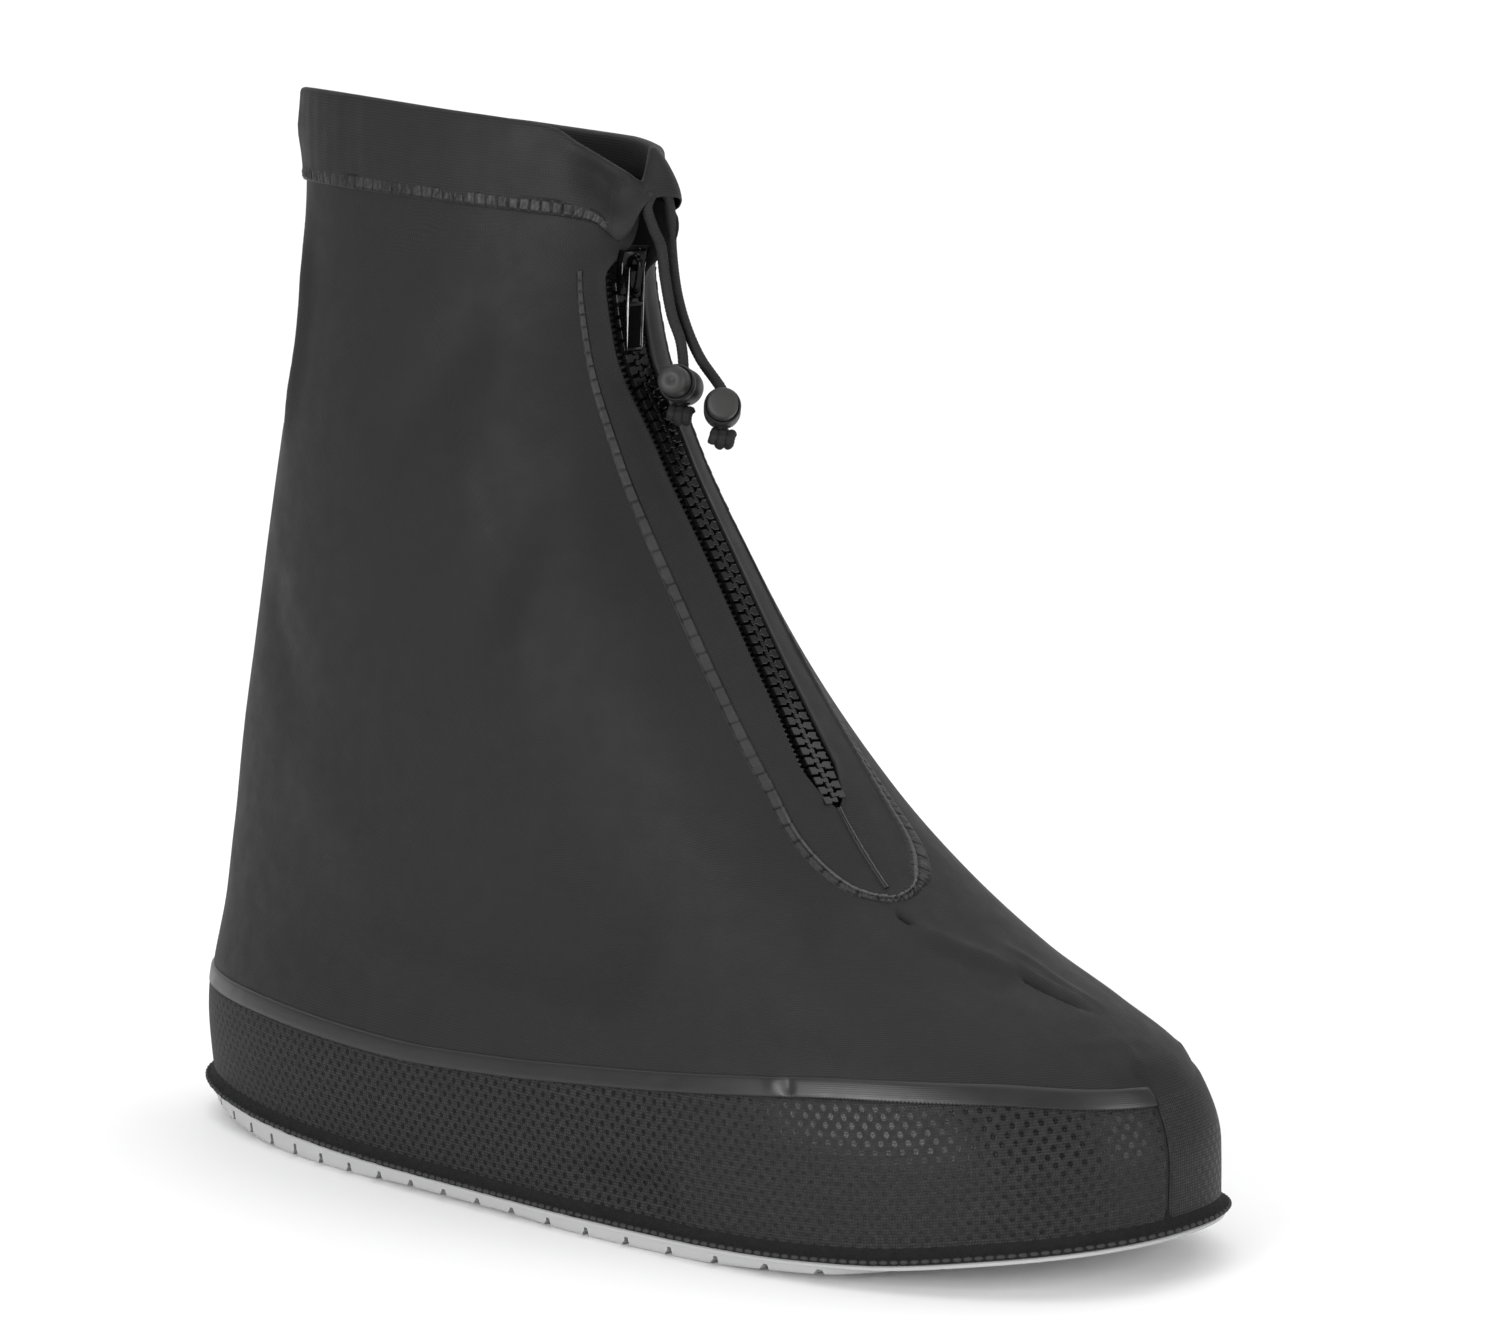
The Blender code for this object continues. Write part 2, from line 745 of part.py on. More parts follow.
def build_slider(material):
    """Slider over the chain: U-shaped body with a bridge for the pull."""
    frame = slider_frame()
    half = SLIDER_LONG / 2
    plate_low = CHAIN_TOP + GAP
    plate_top = plate_low + SLIDER_PLATE
    inner = SLIDER_HALF - SLIDER_SIDE
    profile = [
        (-SLIDER_HALF, SLIDER_FOOT), (-SLIDER_HALF, plate_top),
        (SLIDER_HALF, plate_top), (SLIDER_HALF, SLIDER_FOOT),
        (inner, SLIDER_FOOT), (inner, plate_low), (-inner, plate_low), (-inner, SLIDER_FOOT),
    ]
    point, up, side, outward = frame
    ends = [[point + up * (sign * half) + side * across + outward * off for across, off in profile]
            for sign in (-1, 1)]
    body = add_mesh("zip_slider", loft(ends, False), material)
    bar = bmesh.new()
    top = plate_top + BRIDGE_RISE
    low = plate_top - BRIDGE_SINK
    block(bar, frame, (-BRIDGE_REACH, -BRIDGE_HALF, low), (BRIDGE_REACH, BRIDGE_HALF, top))
    bridge_form = add_mesh("bridge_form", bar, material)
    window = bmesh.new()
    reach = BRIDGE_REACH - BRIDGE_POST
    block(window, frame, (-reach, -WINDOW_REACH, plate_top), (reach, WINDOW_REACH, top - BRIDGE_BAR))
    cut_away(bridge_form, add_mesh("bridge_window", window, material))
    bridge_form.hide_render = True
    bridge_form.display_type = "WIRE"
    join = body.modifiers.new("bridge", "BOOLEAN")
    join.operation = "UNION"
    join.solver = "EXACT"
    join.object = bridge_form


def build_pull(material):
    """Pull tab: a plate with a window whose top bar is the pin under the bridge."""
    frame = pull_frame()
    pin, _, _, outward = frame
    thick = PULL_THICK / 2
    bm = bmesh.new()
    block(bm, frame, (-PIN_RADIUS, -PULL_HALF, -thick), (PULL_LONG, PULL_HALF, thick))
    corners = [edge for edge in bm.edges if abs((edge.verts[0].co - edge.verts[1].co).dot(outward)) > thick]
    bmesh.ops.bevel(bm, geom=corners, offset=PULL_CORNER, segments=3, affect="EDGES", profile=0.5)
    pull = add_mesh("zip_pull", bm, material, pin)
    window = bmesh.new()
    inner = PULL_HALF - PULL_ARM
    block(window, frame, (PIN_RADIUS, -inner, -WINDOW_REACH), (PULL_WINDOW, inner, WINDOW_REACH))
    cut_away(pull, add_mesh("pull_window", window, material))


def build_seam(material):
    """Raised welded seam that runs round the zip as a long U."""
    route = smooth_path([(step.height, step.arc, 0) for step in SEAM_ROUTE], SEAM_STATIONS)
    places = [(step.x, angle_at(step.x, step.y)) for step in route]
    points = [form(*place) for place in places]
    rings = []
    for k, (height, angle) in enumerate(places):
        ahead = points[min(k + 1, len(points) - 1)] - points[max(k - 1, 0)]
        outward = normal_at(height, angle)
        side = outward.cross(ahead).normalized() * SEAM_HALF
        low = outward * SEAM_OFF
        high = outward * (SEAM_OFF + SEAM_THICK)
        narrow = side * SEAM_CROWN
        rings.append([points[k] - side + low, points[k] + side + low,
                      points[k] + narrow + high, points[k] - narrow + high])
    add_mesh("placket_seam", loft(rings, False), material)


def lock_frame(lock):
    """Turn and place of a lock: its own Z along the button, its own X down the cord hole."""
    axis = Vector(lock.axis).normalized()
    down = Vector((0, 0, -1))
    down = (down - axis * down.dot(axis)).normalized()
    turn = Matrix((down, axis.cross(down), axis)).transposed().to_4x4()
    return Matrix.Translation(Vector(lock.hole)) @ turn, down, axis


def build_lock(lock, shell, button):
    """Barrel lock with a cord hole and a sprung button in its bore."""
    placed, _, axis = lock_frame(lock)
    body = turned([
        (0, -LOCK_BACK), (LOCK_RADIUS - LOCK_CHAMFER, -LOCK_BACK), (LOCK_RADIUS, LOCK_CHAMFER - LOCK_BACK),
        (LOCK_RADIUS, LOCK_MOUTH), (LOCK_BORE, LOCK_MOUTH), (LOCK_BORE, BORE_FROM), (0, BORE_FROM),
    ], TURNS)
    bmesh.ops.transform(body, matrix=placed, verts=body.verts)
    shell_piece = add_mesh("cord_lock_" + lock.tag, body, shell)
    hole = bmesh.new()
    bmesh.ops.create_cone(hole, cap_ends=True, segments=HOLE_SIDES, radius1=HOLE_RADIUS,
                          radius2=HOLE_RADIUS, depth=HOLE_LONG)
    bmesh.ops.rotate(hole, verts=hole.verts, cent=(0, 0, 0), matrix=Matrix.Rotation(math.pi / 2, 3, "Y"))
    bmesh.ops.transform(hole, matrix=placed, verts=hole.verts)
    cut_away(shell_piece, add_mesh("lock_hole_" + lock.tag, hole, shell))
    swings = [math.pi / 2 * k / DOME_STEPS for k in range(DOME_STEPS)]
    shoulder = BUTTON_TIP - BUTTON_DOME
    crown = [(BUTTON_RADIUS * math.cos(swing), shoulder + BUTTON_DOME * math.sin(swing)) for swing in swings]
    dome = turned([(0, BUTTON_FROM), (BUTTON_RADIUS, BUTTON_FROM)] + crown + [(0, BUTTON_TIP)], TURNS)
    bmesh.ops.transform(dome, matrix=placed, verts=dome.verts)
    add_mesh("lock_button_" + lock.tag, dome, button, Vector(lock.hole) + axis * BUTTON_TIP)


def build_cord(lock, route, material):
    """Elastic cord from the hem's mouth through its lock, with the knot below."""
    _, down, _ = lock_frame(lock)
    hole = Vector(lock.hole)
    points = list(route) + [hole - down * LOCK_RADIUS, hole, hole + down * (LOCK_RADIUS + GAP)]
    data = bpy.data.curves.new("draw_cord_" + lock.tag, "CURVE")
    data.dimensions = "3D"
    data.bevel_depth = CORD_RADIUS * MM
    data.bevel_resolution = 2
    data.use_fill_caps = True
    data.render_resolution_u = 0
    spline = data.splines.new("POLY")
    path = smooth_path(points, CORD_POINTS)
    spline.points.add(len(path) - 1)
    for node, point in zip(spline.points, path):
        node.co = (*(point * MM), 1.0)
    add_object("draw_cord_" + lock.tag, data, material)
    knot = bmesh.new()
    bmesh.ops.create_icosphere(knot, subdivisions=2, radius=KNOT_RADIUS)
    bmesh.ops.translate(knot, verts=knot.verts, vec=hole + down * (LOCK_RADIUS + 2 * GAP + KNOT_RADIUS))
    add_mesh("cord_knot_" + lock.tag, knot, material)


def main():
    """Clear the scene and build every piece."""
    for piece in list(bpy.data.objects):
        bpy.data.objects.remove(piece, do_unlink=True)
    build_outsole(finish("outsole_pvc", (0.72, 0.72, 0.70), 0.55))
    build_upper(finish("upper_fabric", (0.035, 0.035, 0.037), 0.60))
    build_band(finish("band_rubber", (0.040, 0.040, 0.042), 0.50))
    build_hem(finish("hem_fabric", (0.037, 0.037, 0.039), 0.60))
    build_seam(finish("seam_film", (0.045, 0.045, 0.047), 0.35))
    build_zip(finish("tape_fabric", (0.015, 0.015, 0.016), 0.80),
              finish("chain_plastic", (0.02, 0.02, 0.02), 0.25))
    build_slider(finish("slider_metal", (0.02, 0.02, 0.02), 0.25, 0.8))
    build_pull(finish("pull_metal", (0.03, 0.03, 0.03), 0.25, 0.8))
    for lock, route in zip(LOCKS, (CORD_A, CORD_B)):
        build_lock(lock, finish("lock_shell_" + lock.tag, (0.05, 0.05, 0.05), 0.45),
                   finish("lock_button_" + lock.tag, (0.06, 0.06, 0.06), 0.45))
        build_cord(lock, route, finish("cord_elastic_" + lock.tag, (0.03, 0.03, 0.03), 0.75))


main()
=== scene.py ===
"""Finished look of a rain overshoe for the right foot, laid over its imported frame.

The frame is in metres: +X to the toe, +Y to the wearer's left, +Z up, origin on the floor under
the middle of the sole.  Sizes and tables below are in millimetres.  A place on the upper is a
height and an angle: 0 at the front, positive round the outer side, 180 degrees at the heel.
"""

import logging
import math
from collections.abc import Callable, Sequence
from dataclasses import dataclass, field
from enum import Enum

import bmesh
import bpy
import numpy as np
from mathutils import Matrix, Vector


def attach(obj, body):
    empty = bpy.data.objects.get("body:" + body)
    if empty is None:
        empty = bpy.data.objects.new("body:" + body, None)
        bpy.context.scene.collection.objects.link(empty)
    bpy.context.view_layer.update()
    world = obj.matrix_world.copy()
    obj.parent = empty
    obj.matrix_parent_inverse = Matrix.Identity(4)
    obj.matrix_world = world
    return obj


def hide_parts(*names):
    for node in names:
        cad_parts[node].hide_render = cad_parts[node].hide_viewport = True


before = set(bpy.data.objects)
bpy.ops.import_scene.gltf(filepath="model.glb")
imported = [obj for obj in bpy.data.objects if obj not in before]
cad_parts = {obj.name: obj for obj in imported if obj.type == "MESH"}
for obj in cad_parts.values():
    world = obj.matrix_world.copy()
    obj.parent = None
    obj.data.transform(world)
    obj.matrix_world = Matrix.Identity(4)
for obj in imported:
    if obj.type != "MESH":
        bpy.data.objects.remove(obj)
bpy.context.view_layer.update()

LOG = logging.getLogger("overshoe")
Array = np.ndarray
Mesh = bmesh.types.BMesh
Socket = bpy.types.NodeSocket
Piece = bpy.types.Object
Input = Socket | float | tuple[float, ...]
Pair = tuple[float, float]
Triple = tuple[float, float, float]
Rows = tuple[tuple[float, ...], ...]
Lay = Callable[[Array, Array], Array]
MM = 0.001
FULL_TURN = 2 * math.pi
WELD = 0.002
WAVE_RADIANS = 20.0
SHADER = "Principled BSDF"


class Body(str, Enum):
    """Bodies of the frame that pieces ride on."""

    SHOE = "overshoe"
    PULL = "zip_pull"
    BUTTON_A = "lock_button_a"
    BUTTON_B = "lock_button_b"


class Pattern(Enum):
    """Fine relief of a finish."""

    GRAIN = "grain"
    WEAVE = "weave"
    RIBS = "ribs"
    STIPPLE = "stipple"


class ButtonFace(Enum):
    """End of a lock's button."""

    DIMPLED = "dimpled"
    FLAT = "flat"


class Seed(Enum):
    """Numbers that set one unevenness apart from the others."""

    SLACK = 3
    FLANGE = 11
    FLANGE_FINE = 12
    HEM = 21
    HEM_FINE = 22
    SEAM = 31


@dataclass(frozen=True)
class Bench:
    """Nodes of one new material, added and linked by short calls."""

    made: bpy.types.Material

    def put(self, socket: Socket, value: Input) -> None:
        """Link an input to an output, or set its value.

        Args:
            socket: Input.
            value: Output, or value.
        """
        if isinstance(value, Socket):
            self.made.node_tree.links.new(value, socket)
        else:
            socket.default_value = value

    def add(self, kind: str, result: str, inputs: dict[str | int, Input],
            **choices: str) -> Socket:
        """Add a node.

        Args:
            kind: Its type, without the common prefix.
            result: Name of the output that is wanted.
            inputs: What goes into its inputs.
            choices: Choices on the node.

        Returns:
            The output.
        """
        node = self.made.node_tree.nodes.new("ShaderNode" + kind)
        for name, choice in choices.items():
            setattr(node, name, choice)
        for key, value in inputs.items():
            self.put(node.inputs[key], value)
        return node.outputs[result]

    def sum(self, operation: str, *values: Socket | float) -> Socket:
        """Add a sum on one to three values."""
        return self.add("Math", "Value", dict(enumerate(values)), operation=operation)

    def place(self, kind: str) -> Socket:
        """Add the coordinates of one kind."""
        return self.add("TexCoord", kind, {})

    def step(self, value: Socket, start: float, full: float) -> Socket:
        """Add a smooth step that is 0 at one value and 1 at another."""
        return self.add("MapRange", "Result", {"Value": value, "From Min": start, "From Max": full},
                        interpolation_type="SMOOTHSTEP")

    def vertex_value(self, name: str) -> Socket:
        """Add a named value of the mesh's vertices."""
        return self.add("Attribute", "Fac", {}, attribute_name=name)

    def noise(self, size: float, detail: float) -> Socket:
        """Add a noise with a grain in millimetres and a number of octaves."""
        return self.add("TexNoise", "Fac", {"Vector": self.place("Object"),
                                            "Scale": 1 / (size * MM), "Detail": detail})


@dataclass(frozen=True)
class Finish:
    """Surface of one kind of material, with its own tone, gloss and fine relief.

    Sizes are in millimetres.  Mottle and gloss_drift say how far tone and roughness wander, and
    thread how much the pattern lightens the tone.  A toned finish is darkened or lightened by the
    vertex value "tone": painted shade and light of creases, seams and the cord's mouth, besides the
    own tone of the seam plates and of the collar's inside.
    """

    name: str
    color: Triple
    roughness: float
    pattern: Pattern = Pattern.GRAIN
    pitch: float = 0.5
    relief: float = 0.04
    strength: float = 0.5
    mottle: float = 0.12
    mottle_size: float = 16.0
    gloss_drift: float = 0.05
    metallic: float = 0.0
    specular: float = 0.5
    toned: bool = False
    thread: float = 0.0

    def material(self) -> bpy.types.Material:
        """Make the shader nodes of this finish.

        Returns:
            The new material.
        """
        made = bpy.data.materials.new(self.name)
        made.use_nodes = True
        bench = Bench(made)
        figure = self._figure(bench)
        height = bench.sum("ADD", figure, bench.noise(self.pitch, 3.0))
        relief = bench.add("Bump", "Normal", {"Strength": self.strength, "Height": height,
                                              "Distance": self.relief * MM})
        shader = made.node_tree.nodes[SHADER].inputs
        for name, value in (("Metallic", self.metallic), ("Specular IOR Level", self.specular),
                            ("Base Color", self._tone(bench, figure)),
                            ("Roughness", self._gloss(bench)), ("Normal", relief)):
            bench.put(shader[name], value)
        return made

    def _tone(self, bench: Bench, figure: Socket) -> Socket:
        """Add the mottled tone, its threads lightened, and the painted shade and light where toned.

        Args:
            bench: Nodes of the material.
            figure: Value of the pattern.

        Returns:
            The colour.
        """
        dark, light = ((*(part * (1 + way * self.mottle) for part in self.color), 1.0)
                       for way in (-1, 1))
        color = bench.add("Mix", "Result", {"Factor": bench.noise(self.mottle_size, 5.0),
                                            "A": dark, "B": light}, data_type="RGBA")
        share = bench.sum("MULTIPLY_ADD", figure, self.thread, 1 - self.thread / 4)
        if self.toned:
            tone = bench.sum("ADD", bench.vertex_value("tone"), 1.0)
            share = bench.sum("MULTIPLY", share, tone)
        return bench.add("VectorMath", "Vector", {0: color, "Scale": share}, operation="SCALE")

    def _gloss(self, bench: Bench) -> Socket:
        """Add the wandering roughness."""
        return bench.add("MapRange", "Result", {
            "Value": bench.noise(self.mottle_size * 0.45, 4.0), "From Min": 0.3, "From Max": 0.7,
            "To Min": self.roughness - self.gloss_drift,
            "To Max": self.roughness + self.gloss_drift})

    def _wave(self, bench: Bench, axis: str) -> Socket:
        """Add threads at the finish's pitch, counted along one axis of the piece's own map."""
        scale = FULL_TURN / WAVE_RADIANS / (self.pitch * MM)
        return bench.add("TexWave", "Fac", {"Vector": bench.place("UV"), "Scale": scale,
                                            "Distortion": 0.0}, bands_direction=axis)

    def _figure(self, bench: Bench) -> Socket:
        """Add the finish's pattern.

        Args:
            bench: Nodes of the material.

        Returns:
            1 on its threads or grains, 0 between them.
        """
        if self.pattern is Pattern.STIPPLE:
            return bench.add("TexVoronoi", "Distance", {"Vector": bench.place("Object"),
                                                        "Scale": 1 / (self.pitch * MM)})
        if self.pattern is Pattern.GRAIN:
            return bench.noise(self.pitch, 3.0)
        threads = self._wave(bench, "Y")
        if self.pattern is Pattern.RIBS:
            return threads
        return bench.sum("MULTIPLY", self._wave(bench, "X"), threads)


@dataclass(frozen=True)
class DottedFinish(Finish):
    """Finish with smooth round dots sunk into it in staggered rows.

    The map "dots" counts columns and rows of dots, and the vertex value "dotted" says where they
    are.  The dots shine towards the toe, between two places along the shoe in metres.
    """

    dot_pitch: float = 3.6
    dot_row: float = 1.85
    dot_radius: float = 0.74
    dot_color: Triple = (0.002, 0.002, 0.0021)
    dot_roughness: float = 0.22
    dot_coat: float = 0.16
    coat_roughness: float = 0.26
    shine_from: float = 0.035
    shine_full: float = 0.065

    def material(self) -> bpy.types.Material:
        """Make the shader nodes, the dots mixed into tone, and into gloss where they shine.

        Returns:
            The new material.
        """
        made = super().material()
        bench = Bench(made)
        share = self._dots(bench)
        along = bench.add("SeparateXYZ", "X", {"Vector": bench.place("Object")})
        shiny = bench.sum("MULTIPLY", share, bench.step(along, self.shine_from, self.shine_full))
        shader = made.node_tree.nodes[SHADER].inputs
        for name, kind, value, factor in (
                ("Base Color", "RGBA", (*self.dot_color, 1.0), share),
                ("Roughness", "FLOAT", self.dot_roughness, shiny)):
            between = shader[name].links[0].from_socket
            bench.put(shader[name], bench.add(
                "Mix", "Result", {"Factor": factor, "A": between, "B": value}, data_type=kind))
        bench.put(shader["Coat Weight"], bench.sum("MULTIPLY", shiny, self.dot_coat))
        bench.put(shader["Coat Roughness"], self.coat_roughness)
        return made

    def _dots(self, bench: Bench) -> Socket:
        """Add the dots.

        Args:
            bench: Nodes of the material.

        Returns:
            1 inside a dot, 0 between the dots.
        """
        chart = bench.add("UVMap", "UV", {}, uv_map="dots")
        place = bench.add("SeparateXYZ", "X", {"Vector": chart})
        row = place.node.outputs["Y"]
        near = bench.sum("ROUND", row)
        stagger = bench.sum("MULTIPLY", bench.sum("FLOORED_MODULO", near, 2.0), 0.5)
        column = bench.sum("SUBTRACT", place, stagger)
        beside = bench.sum("SUBTRACT", column, bench.sum("ROUND", column))
        above = bench.sum("SUBTRACT", row, near)
        squares = [bench.sum("POWER", bench.sum("MULTIPLY", off, pitch), 2.0)
                   for off, pitch in ((beside, self.dot_pitch), (above, self.dot_row))]
        away = bench.sum("SQRT", bench.sum("ADD", *squares))
        inside = bench.step(away, self.dot_radius * 1.2, self.dot_radius * 0.75)
        return bench.sum("MULTIPLY", inside, bench.vertex_value("dotted"))


@dataclass(frozen=True)
class Table:
    """Rows of numbers whose columns are read on smooth lines that never swing past their rows."""

    rows: Rows

    def read(self, column: int, at: Array | float) -> Array:
        """Read a column.

        Args:
            column: Column number; column 0 is the key.
            at: Keys to read at.

        Returns:
            Values at the keys.
        """
        data = np.array(self.rows, float)
        keys = data[:, 0]
        values = data[:, column]
        steps = np.diff(values) / np.diff(keys)
        both = steps[:-1] * steps[1:]
        total = np.where(both > 0, steps[:-1] + steps[1:], 1.0)
        lean = np.concatenate((steps[:1], np.where(both > 0, 2 * both / total, 0.0), steps[-1:]))
        at = np.clip(at, keys[0], keys[-1])
        i = np.clip(np.searchsorted(keys, at) - 1, 0, len(keys) - 2)
        span = keys[i + 1] - keys[i]
        u = (at - keys[i]) / span
        v = 1 - u
        start = v * v * ((1 + 2 * u) * values[i] + u * span * lean[i])
        return start + u * u * ((3 - 2 * u) * values[i + 1] - v * span * lean[i + 1])


# Level cuts of the upper: height, back, front, widest, outer half, inner half, and the powers of
# its back and front
SECTIONS = Table((
    (10, -147, 147, 40, 54.4, 54.2, 2.30, 2.30),
    (28, -149, 147, 40, 55.2, 55.0, 2.30, 2.25),
    (46, -148, 141, 38, 52.5, 52, 2.25, 2.15),
    (58, -147, 126, 30, 49, 48, 2.20, 2.05),
    (68, -146, 106, 22, 47, 46, 2.15, 2.00),
    (82, -144, 83, 10, 45, 44, 2.10, 2.00),
    (100, -141, 59, -4, 43, 42, 2.10, 2.00),
    (124, -136, 35, -18, 41, 40, 2.10, 2.00),
    (150, -131, 16, -34, 38, 37, 2.10, 2.00),
    (180, -125, -2, -48, 34, 33, 2.10, 2.00),
    (206, -120, -12, -55, 30, 29, 2.10, 2.00),
    (224, -119, -14, -57, 27, 26, 2.10, 2.00),
    (240, -119, -9, -57, 25, 24, 2.10, 2.00),
    (262, -120, -5, -58, 24, 23, 2.10, 2.00),
))
# Along the shoe: flange, top of the rand band, floor side of the sole
LEVELS = Table((
    (-152, 9.2, 38.5, 5.0), (-138, 8.5, 38.5, 3.4), (-119, 7.4, 38.4, 1.6),
    (-104, 6.6, 38.2, 0.4), (-92, 6.1, 37.9, 0.0), (-66, 5.3, 37.2, 0.0), (-50, 5.0, 37.0, 0.6),
    (-10, 4.8, 39.0, 0.6), (10, 4.8, 40.7, 0.0), (50, 4.8, 44.1, 0.0), (66, 4.9, 45.5, 0.7),
    (95, 6.0, 47.5, 2.6), (125, 9.5, 48.0, 6.8), (152, 13.0, 45.0, 10.6),
))
# Degrees, height of the folded rim, which dips beside the front on the outer side
RIM_LINE = Table((
    (-180, 262), (-130, 262.3), (-95, 264.0), (-62, 264.4), (-45, 263.2), (-30, 261.4),
    (-20, 260.8), (-8, 261.0), (-2, 260.4), (2, 258), (5, 255.4), (8, 252.2), (10, 251.0),
    (12, 251.2), (20, 253.2), (30, 255.8), (40, 258.8), (50, 261.8), (58, 262.3), (90, 262),
    (180, 262),
))
# Degrees, height of the hem's lower edge, which rises over the cord's mouth
HEM_LINE = Table((
    (-180, 241), (-40, 241), (-30, 241.8), (-20, 244.6), (-14, 246.8), (-8, 248), (-2, 248.5),
    (4, 248.4), (8, 247.8), (11, 246.4), (13, 244.4), (15, 241), (17, 237.6), (19.5, 235.4),
    (24, 236.6), (30, 239.2), (37, 240.6), (46, 241), (180, 241),
))
# Height, distance of the zip's middle from the front centre round the section
ZIP_LINE = Table((
    (84, 15), (102, 8.8), (114, 4.8), (126, 1.8), (142, 0), (160, -0.6), (182, 0.3), (205, 3.5),
    (242, 4.2),
))
# Height, distance of the seam round the zip from the front centre round the section
SEAM_ROUTE = (
    (226, 15.5), (182, 16.0), (136, 18.0), (110, 21.5), (95, 25.0), (86.5, 23.5), (83.5, 17.0),
    (84.5, 9.0), (88.5, 0.0), (95, -7.0), (108, -12.0), (124, -16.5), (150, -18.0),
    (182, -16.0), (226, -15.0),
)


@dataclass(frozen=True)
class Crease:
    """Soft ridge, or trough where its rise is negative, along heights and degrees."""

    route: tuple[Pair, ...]
    half: float
    rise: float
    # painted shade where negative, painted light where positive
    tone: float = 0.0


CREASES = tuple(Crease(*row) for row in (
    # outer side of the shaft
    (((222, 60), (197, 86), (171, 108)), 9.0, -1.7),
    (((210, 44), (184, 70), (158, 94)), 9.0, 1.0),
    (((190, 39), (152, 80), (130, 100)), 10.0, -1.6),
    (((176, 32), (148, 68), (124, 94)), 9.0, 1.0),
    (((150, 50), (128, 70), (104, 92)), 11.0, -0.9),
    # fold of the collar beside the cord's mouth
    (((257, 46), (250.5, 33), (246, 25), (239, 18)), 4.4, -3.0, -0.36),
    (((261, 54), (255, 32), (251, 16)), 3.2, 1.5, 0.05),
    # back of the shaft
    (((238, 151), (213, 143), (193, 143), (168, 147)), 4.0, 1.9),
    (((228, 162), (203, 160), (178, 160)), 6.5, -1.9),
    (((200, 190), (176, 196), (150, 205)), 8.0, -1.5),
    (((150, 150), (126, 138), (108, 126)), 9.0, -1.2),
    # ankle and heel
    (((83, 106), (74, 95), (62, 87)), 13.0, -2.2),
    (((56, 126), (54, 104), (52, 84)), 6.0, 1.6),
    (((100, 135), (86, 124), (72, 117)), 10.0, 0.9),
    # instep and toe
    (((79.5, 22), (76, 17.5), (73, 13), (70.5, 8.5), (67.5, 3)), 2.2, 1.0, 0.1),
    (((76.5, 24), (73, 19), (70, 14.5), (67, 9)), 3.4, -0.8, -0.08),
    (((81.2, 21.6), (79.8, 21.2), (78.2, 20.3)), 0.75, -1.2, -0.85),
    (((66, 22), (66.4, 13.5), (67, 5)), 3.0, -0.9, -0.12),
    (((68.6, 5.4), (65.4, 5.8), (62.4, 3.0), (59.2, -1.2)), 0.85, -1.2, -0.5),
    (((67.6, 5.4), (65.6, 4.4), (63.8, 2.4)), 1.6, -0.6, -0.25),
    (((70.4, 3.0), (67.2, 2.6), (64.0, 0.4), (60.4, -3.2)), 1.1, 0.7, 0.28),
    (((74.5, 3.5), (69.5, -2.5), (63.5, -3.8), (59, -7.5)), 1.8, 0.7, 0.06),
    (((72.5, 5.5), (68.5, 0.6), (65.5, -0.6)), 0.8, 0.3, 0.25),
    (((54.5, 20), (54.6, 8), (54.2, 0), (53.5, -8)), 1.2, 0.4),
    (((54.4, 1.0), (51.5, 3.5), (48, 5.5)), 1.0, 0.5),
    (((49.5, 8), (47, 4.5), (45, 2)), 2.6, -1.0, -0.15),
    (((87, 36), (80, 44), (73, 50)), 5.0, 0.6),
    (((84, 30), (77, 33), (71, 38)), 4.5, 0.7, 0.05),
    (((84, 40), (76, 44), (68, 50)), 4.5, -0.6),
    # broad painted shade along the front of the shaft, and painted light on the side of the toe
    (((258, 44), (190, 46), (110, 48)), 34.0, 0.0, -0.22),
    (((82, 46), (66, 38), (50, 20)), 22.0, 0.0, 0.15),
    # inner side
    (((218, -66), (194, -88), (168, -108)), 9.0, -1.6),
    (((182, -48), (150, -82), (126, -102)), 10.0, -1.5),
    (((168, -42), (142, -72), (118, -96)), 9.0, 0.9),
    (((84, -104), (74, -94), (62, -84)), 12.0, -1.9),
    (((57, -122), (55, -102), (53, -82)), 6.0, 1.3),
    # pleats in the smooth strip over the band
    (((42.5, 73.2), (44.5, 73.0), (47.5, 72.6)), 1.8, 0.3),
    (((42.5, 70.8), (44.5, 70.8), (47.5, 70.6)), 1.3, -0.45),
    # dent in the band
    (((17, 97), (17.5, 92), (18, 87)), 6.0, -2.2),
))


def ease(share: Array) -> Array:
    """Smooth step from 0 to 1."""
    share = np.clip(share, 0.0, 1.0)
    return share * share * (3 - 2 * share)


def bell(off: Array, half: float) -> Array:
    """Soft hump, 1 in its middle."""
    return np.exp(-(off / half) ** 2)


def unit(ways: Array) -> Array:
    """Directions, each brought to a length of 1."""
    return ways / np.linalg.norm(ways, axis=-1, keepdims=True)


def lengths_along(points: Array) -> Array:
    """Length of a path up to each of its points."""
    return np.concatenate(([0.0], np.linalg.norm(np.diff(points, axis=0), axis=1).cumsum()))


def nearest(count: int, share: Array) -> Array:
    """Number of the nearest row, out of a count of even rows, for shares of the way along."""
    return np.rint(share * (count - 1)).astype(int)


def ripple(points: Array, size: float, seed: Seed) -> Array:
    """Gentle unevenness between -1 and 1.

    Args:
        points: Places in millimetres.
        size: Length of a wave.
        seed: Number that sets the waves apart.

    Returns:
        One value for each point.
    """
    draw = np.random.default_rng(seed.value)
    total = np.zeros(points.shape[:-1])
    count = 7
    for _ in range(count):
        way = draw.normal(size=3)
        way /= np.linalg.norm(way)
        length = size * draw.uniform(0.6, 1.5)
        total += np.sin(points @ way * FULL_TURN / length + draw.uniform(0, FULL_TURN))
    return total / math.sqrt(count) / 1.4


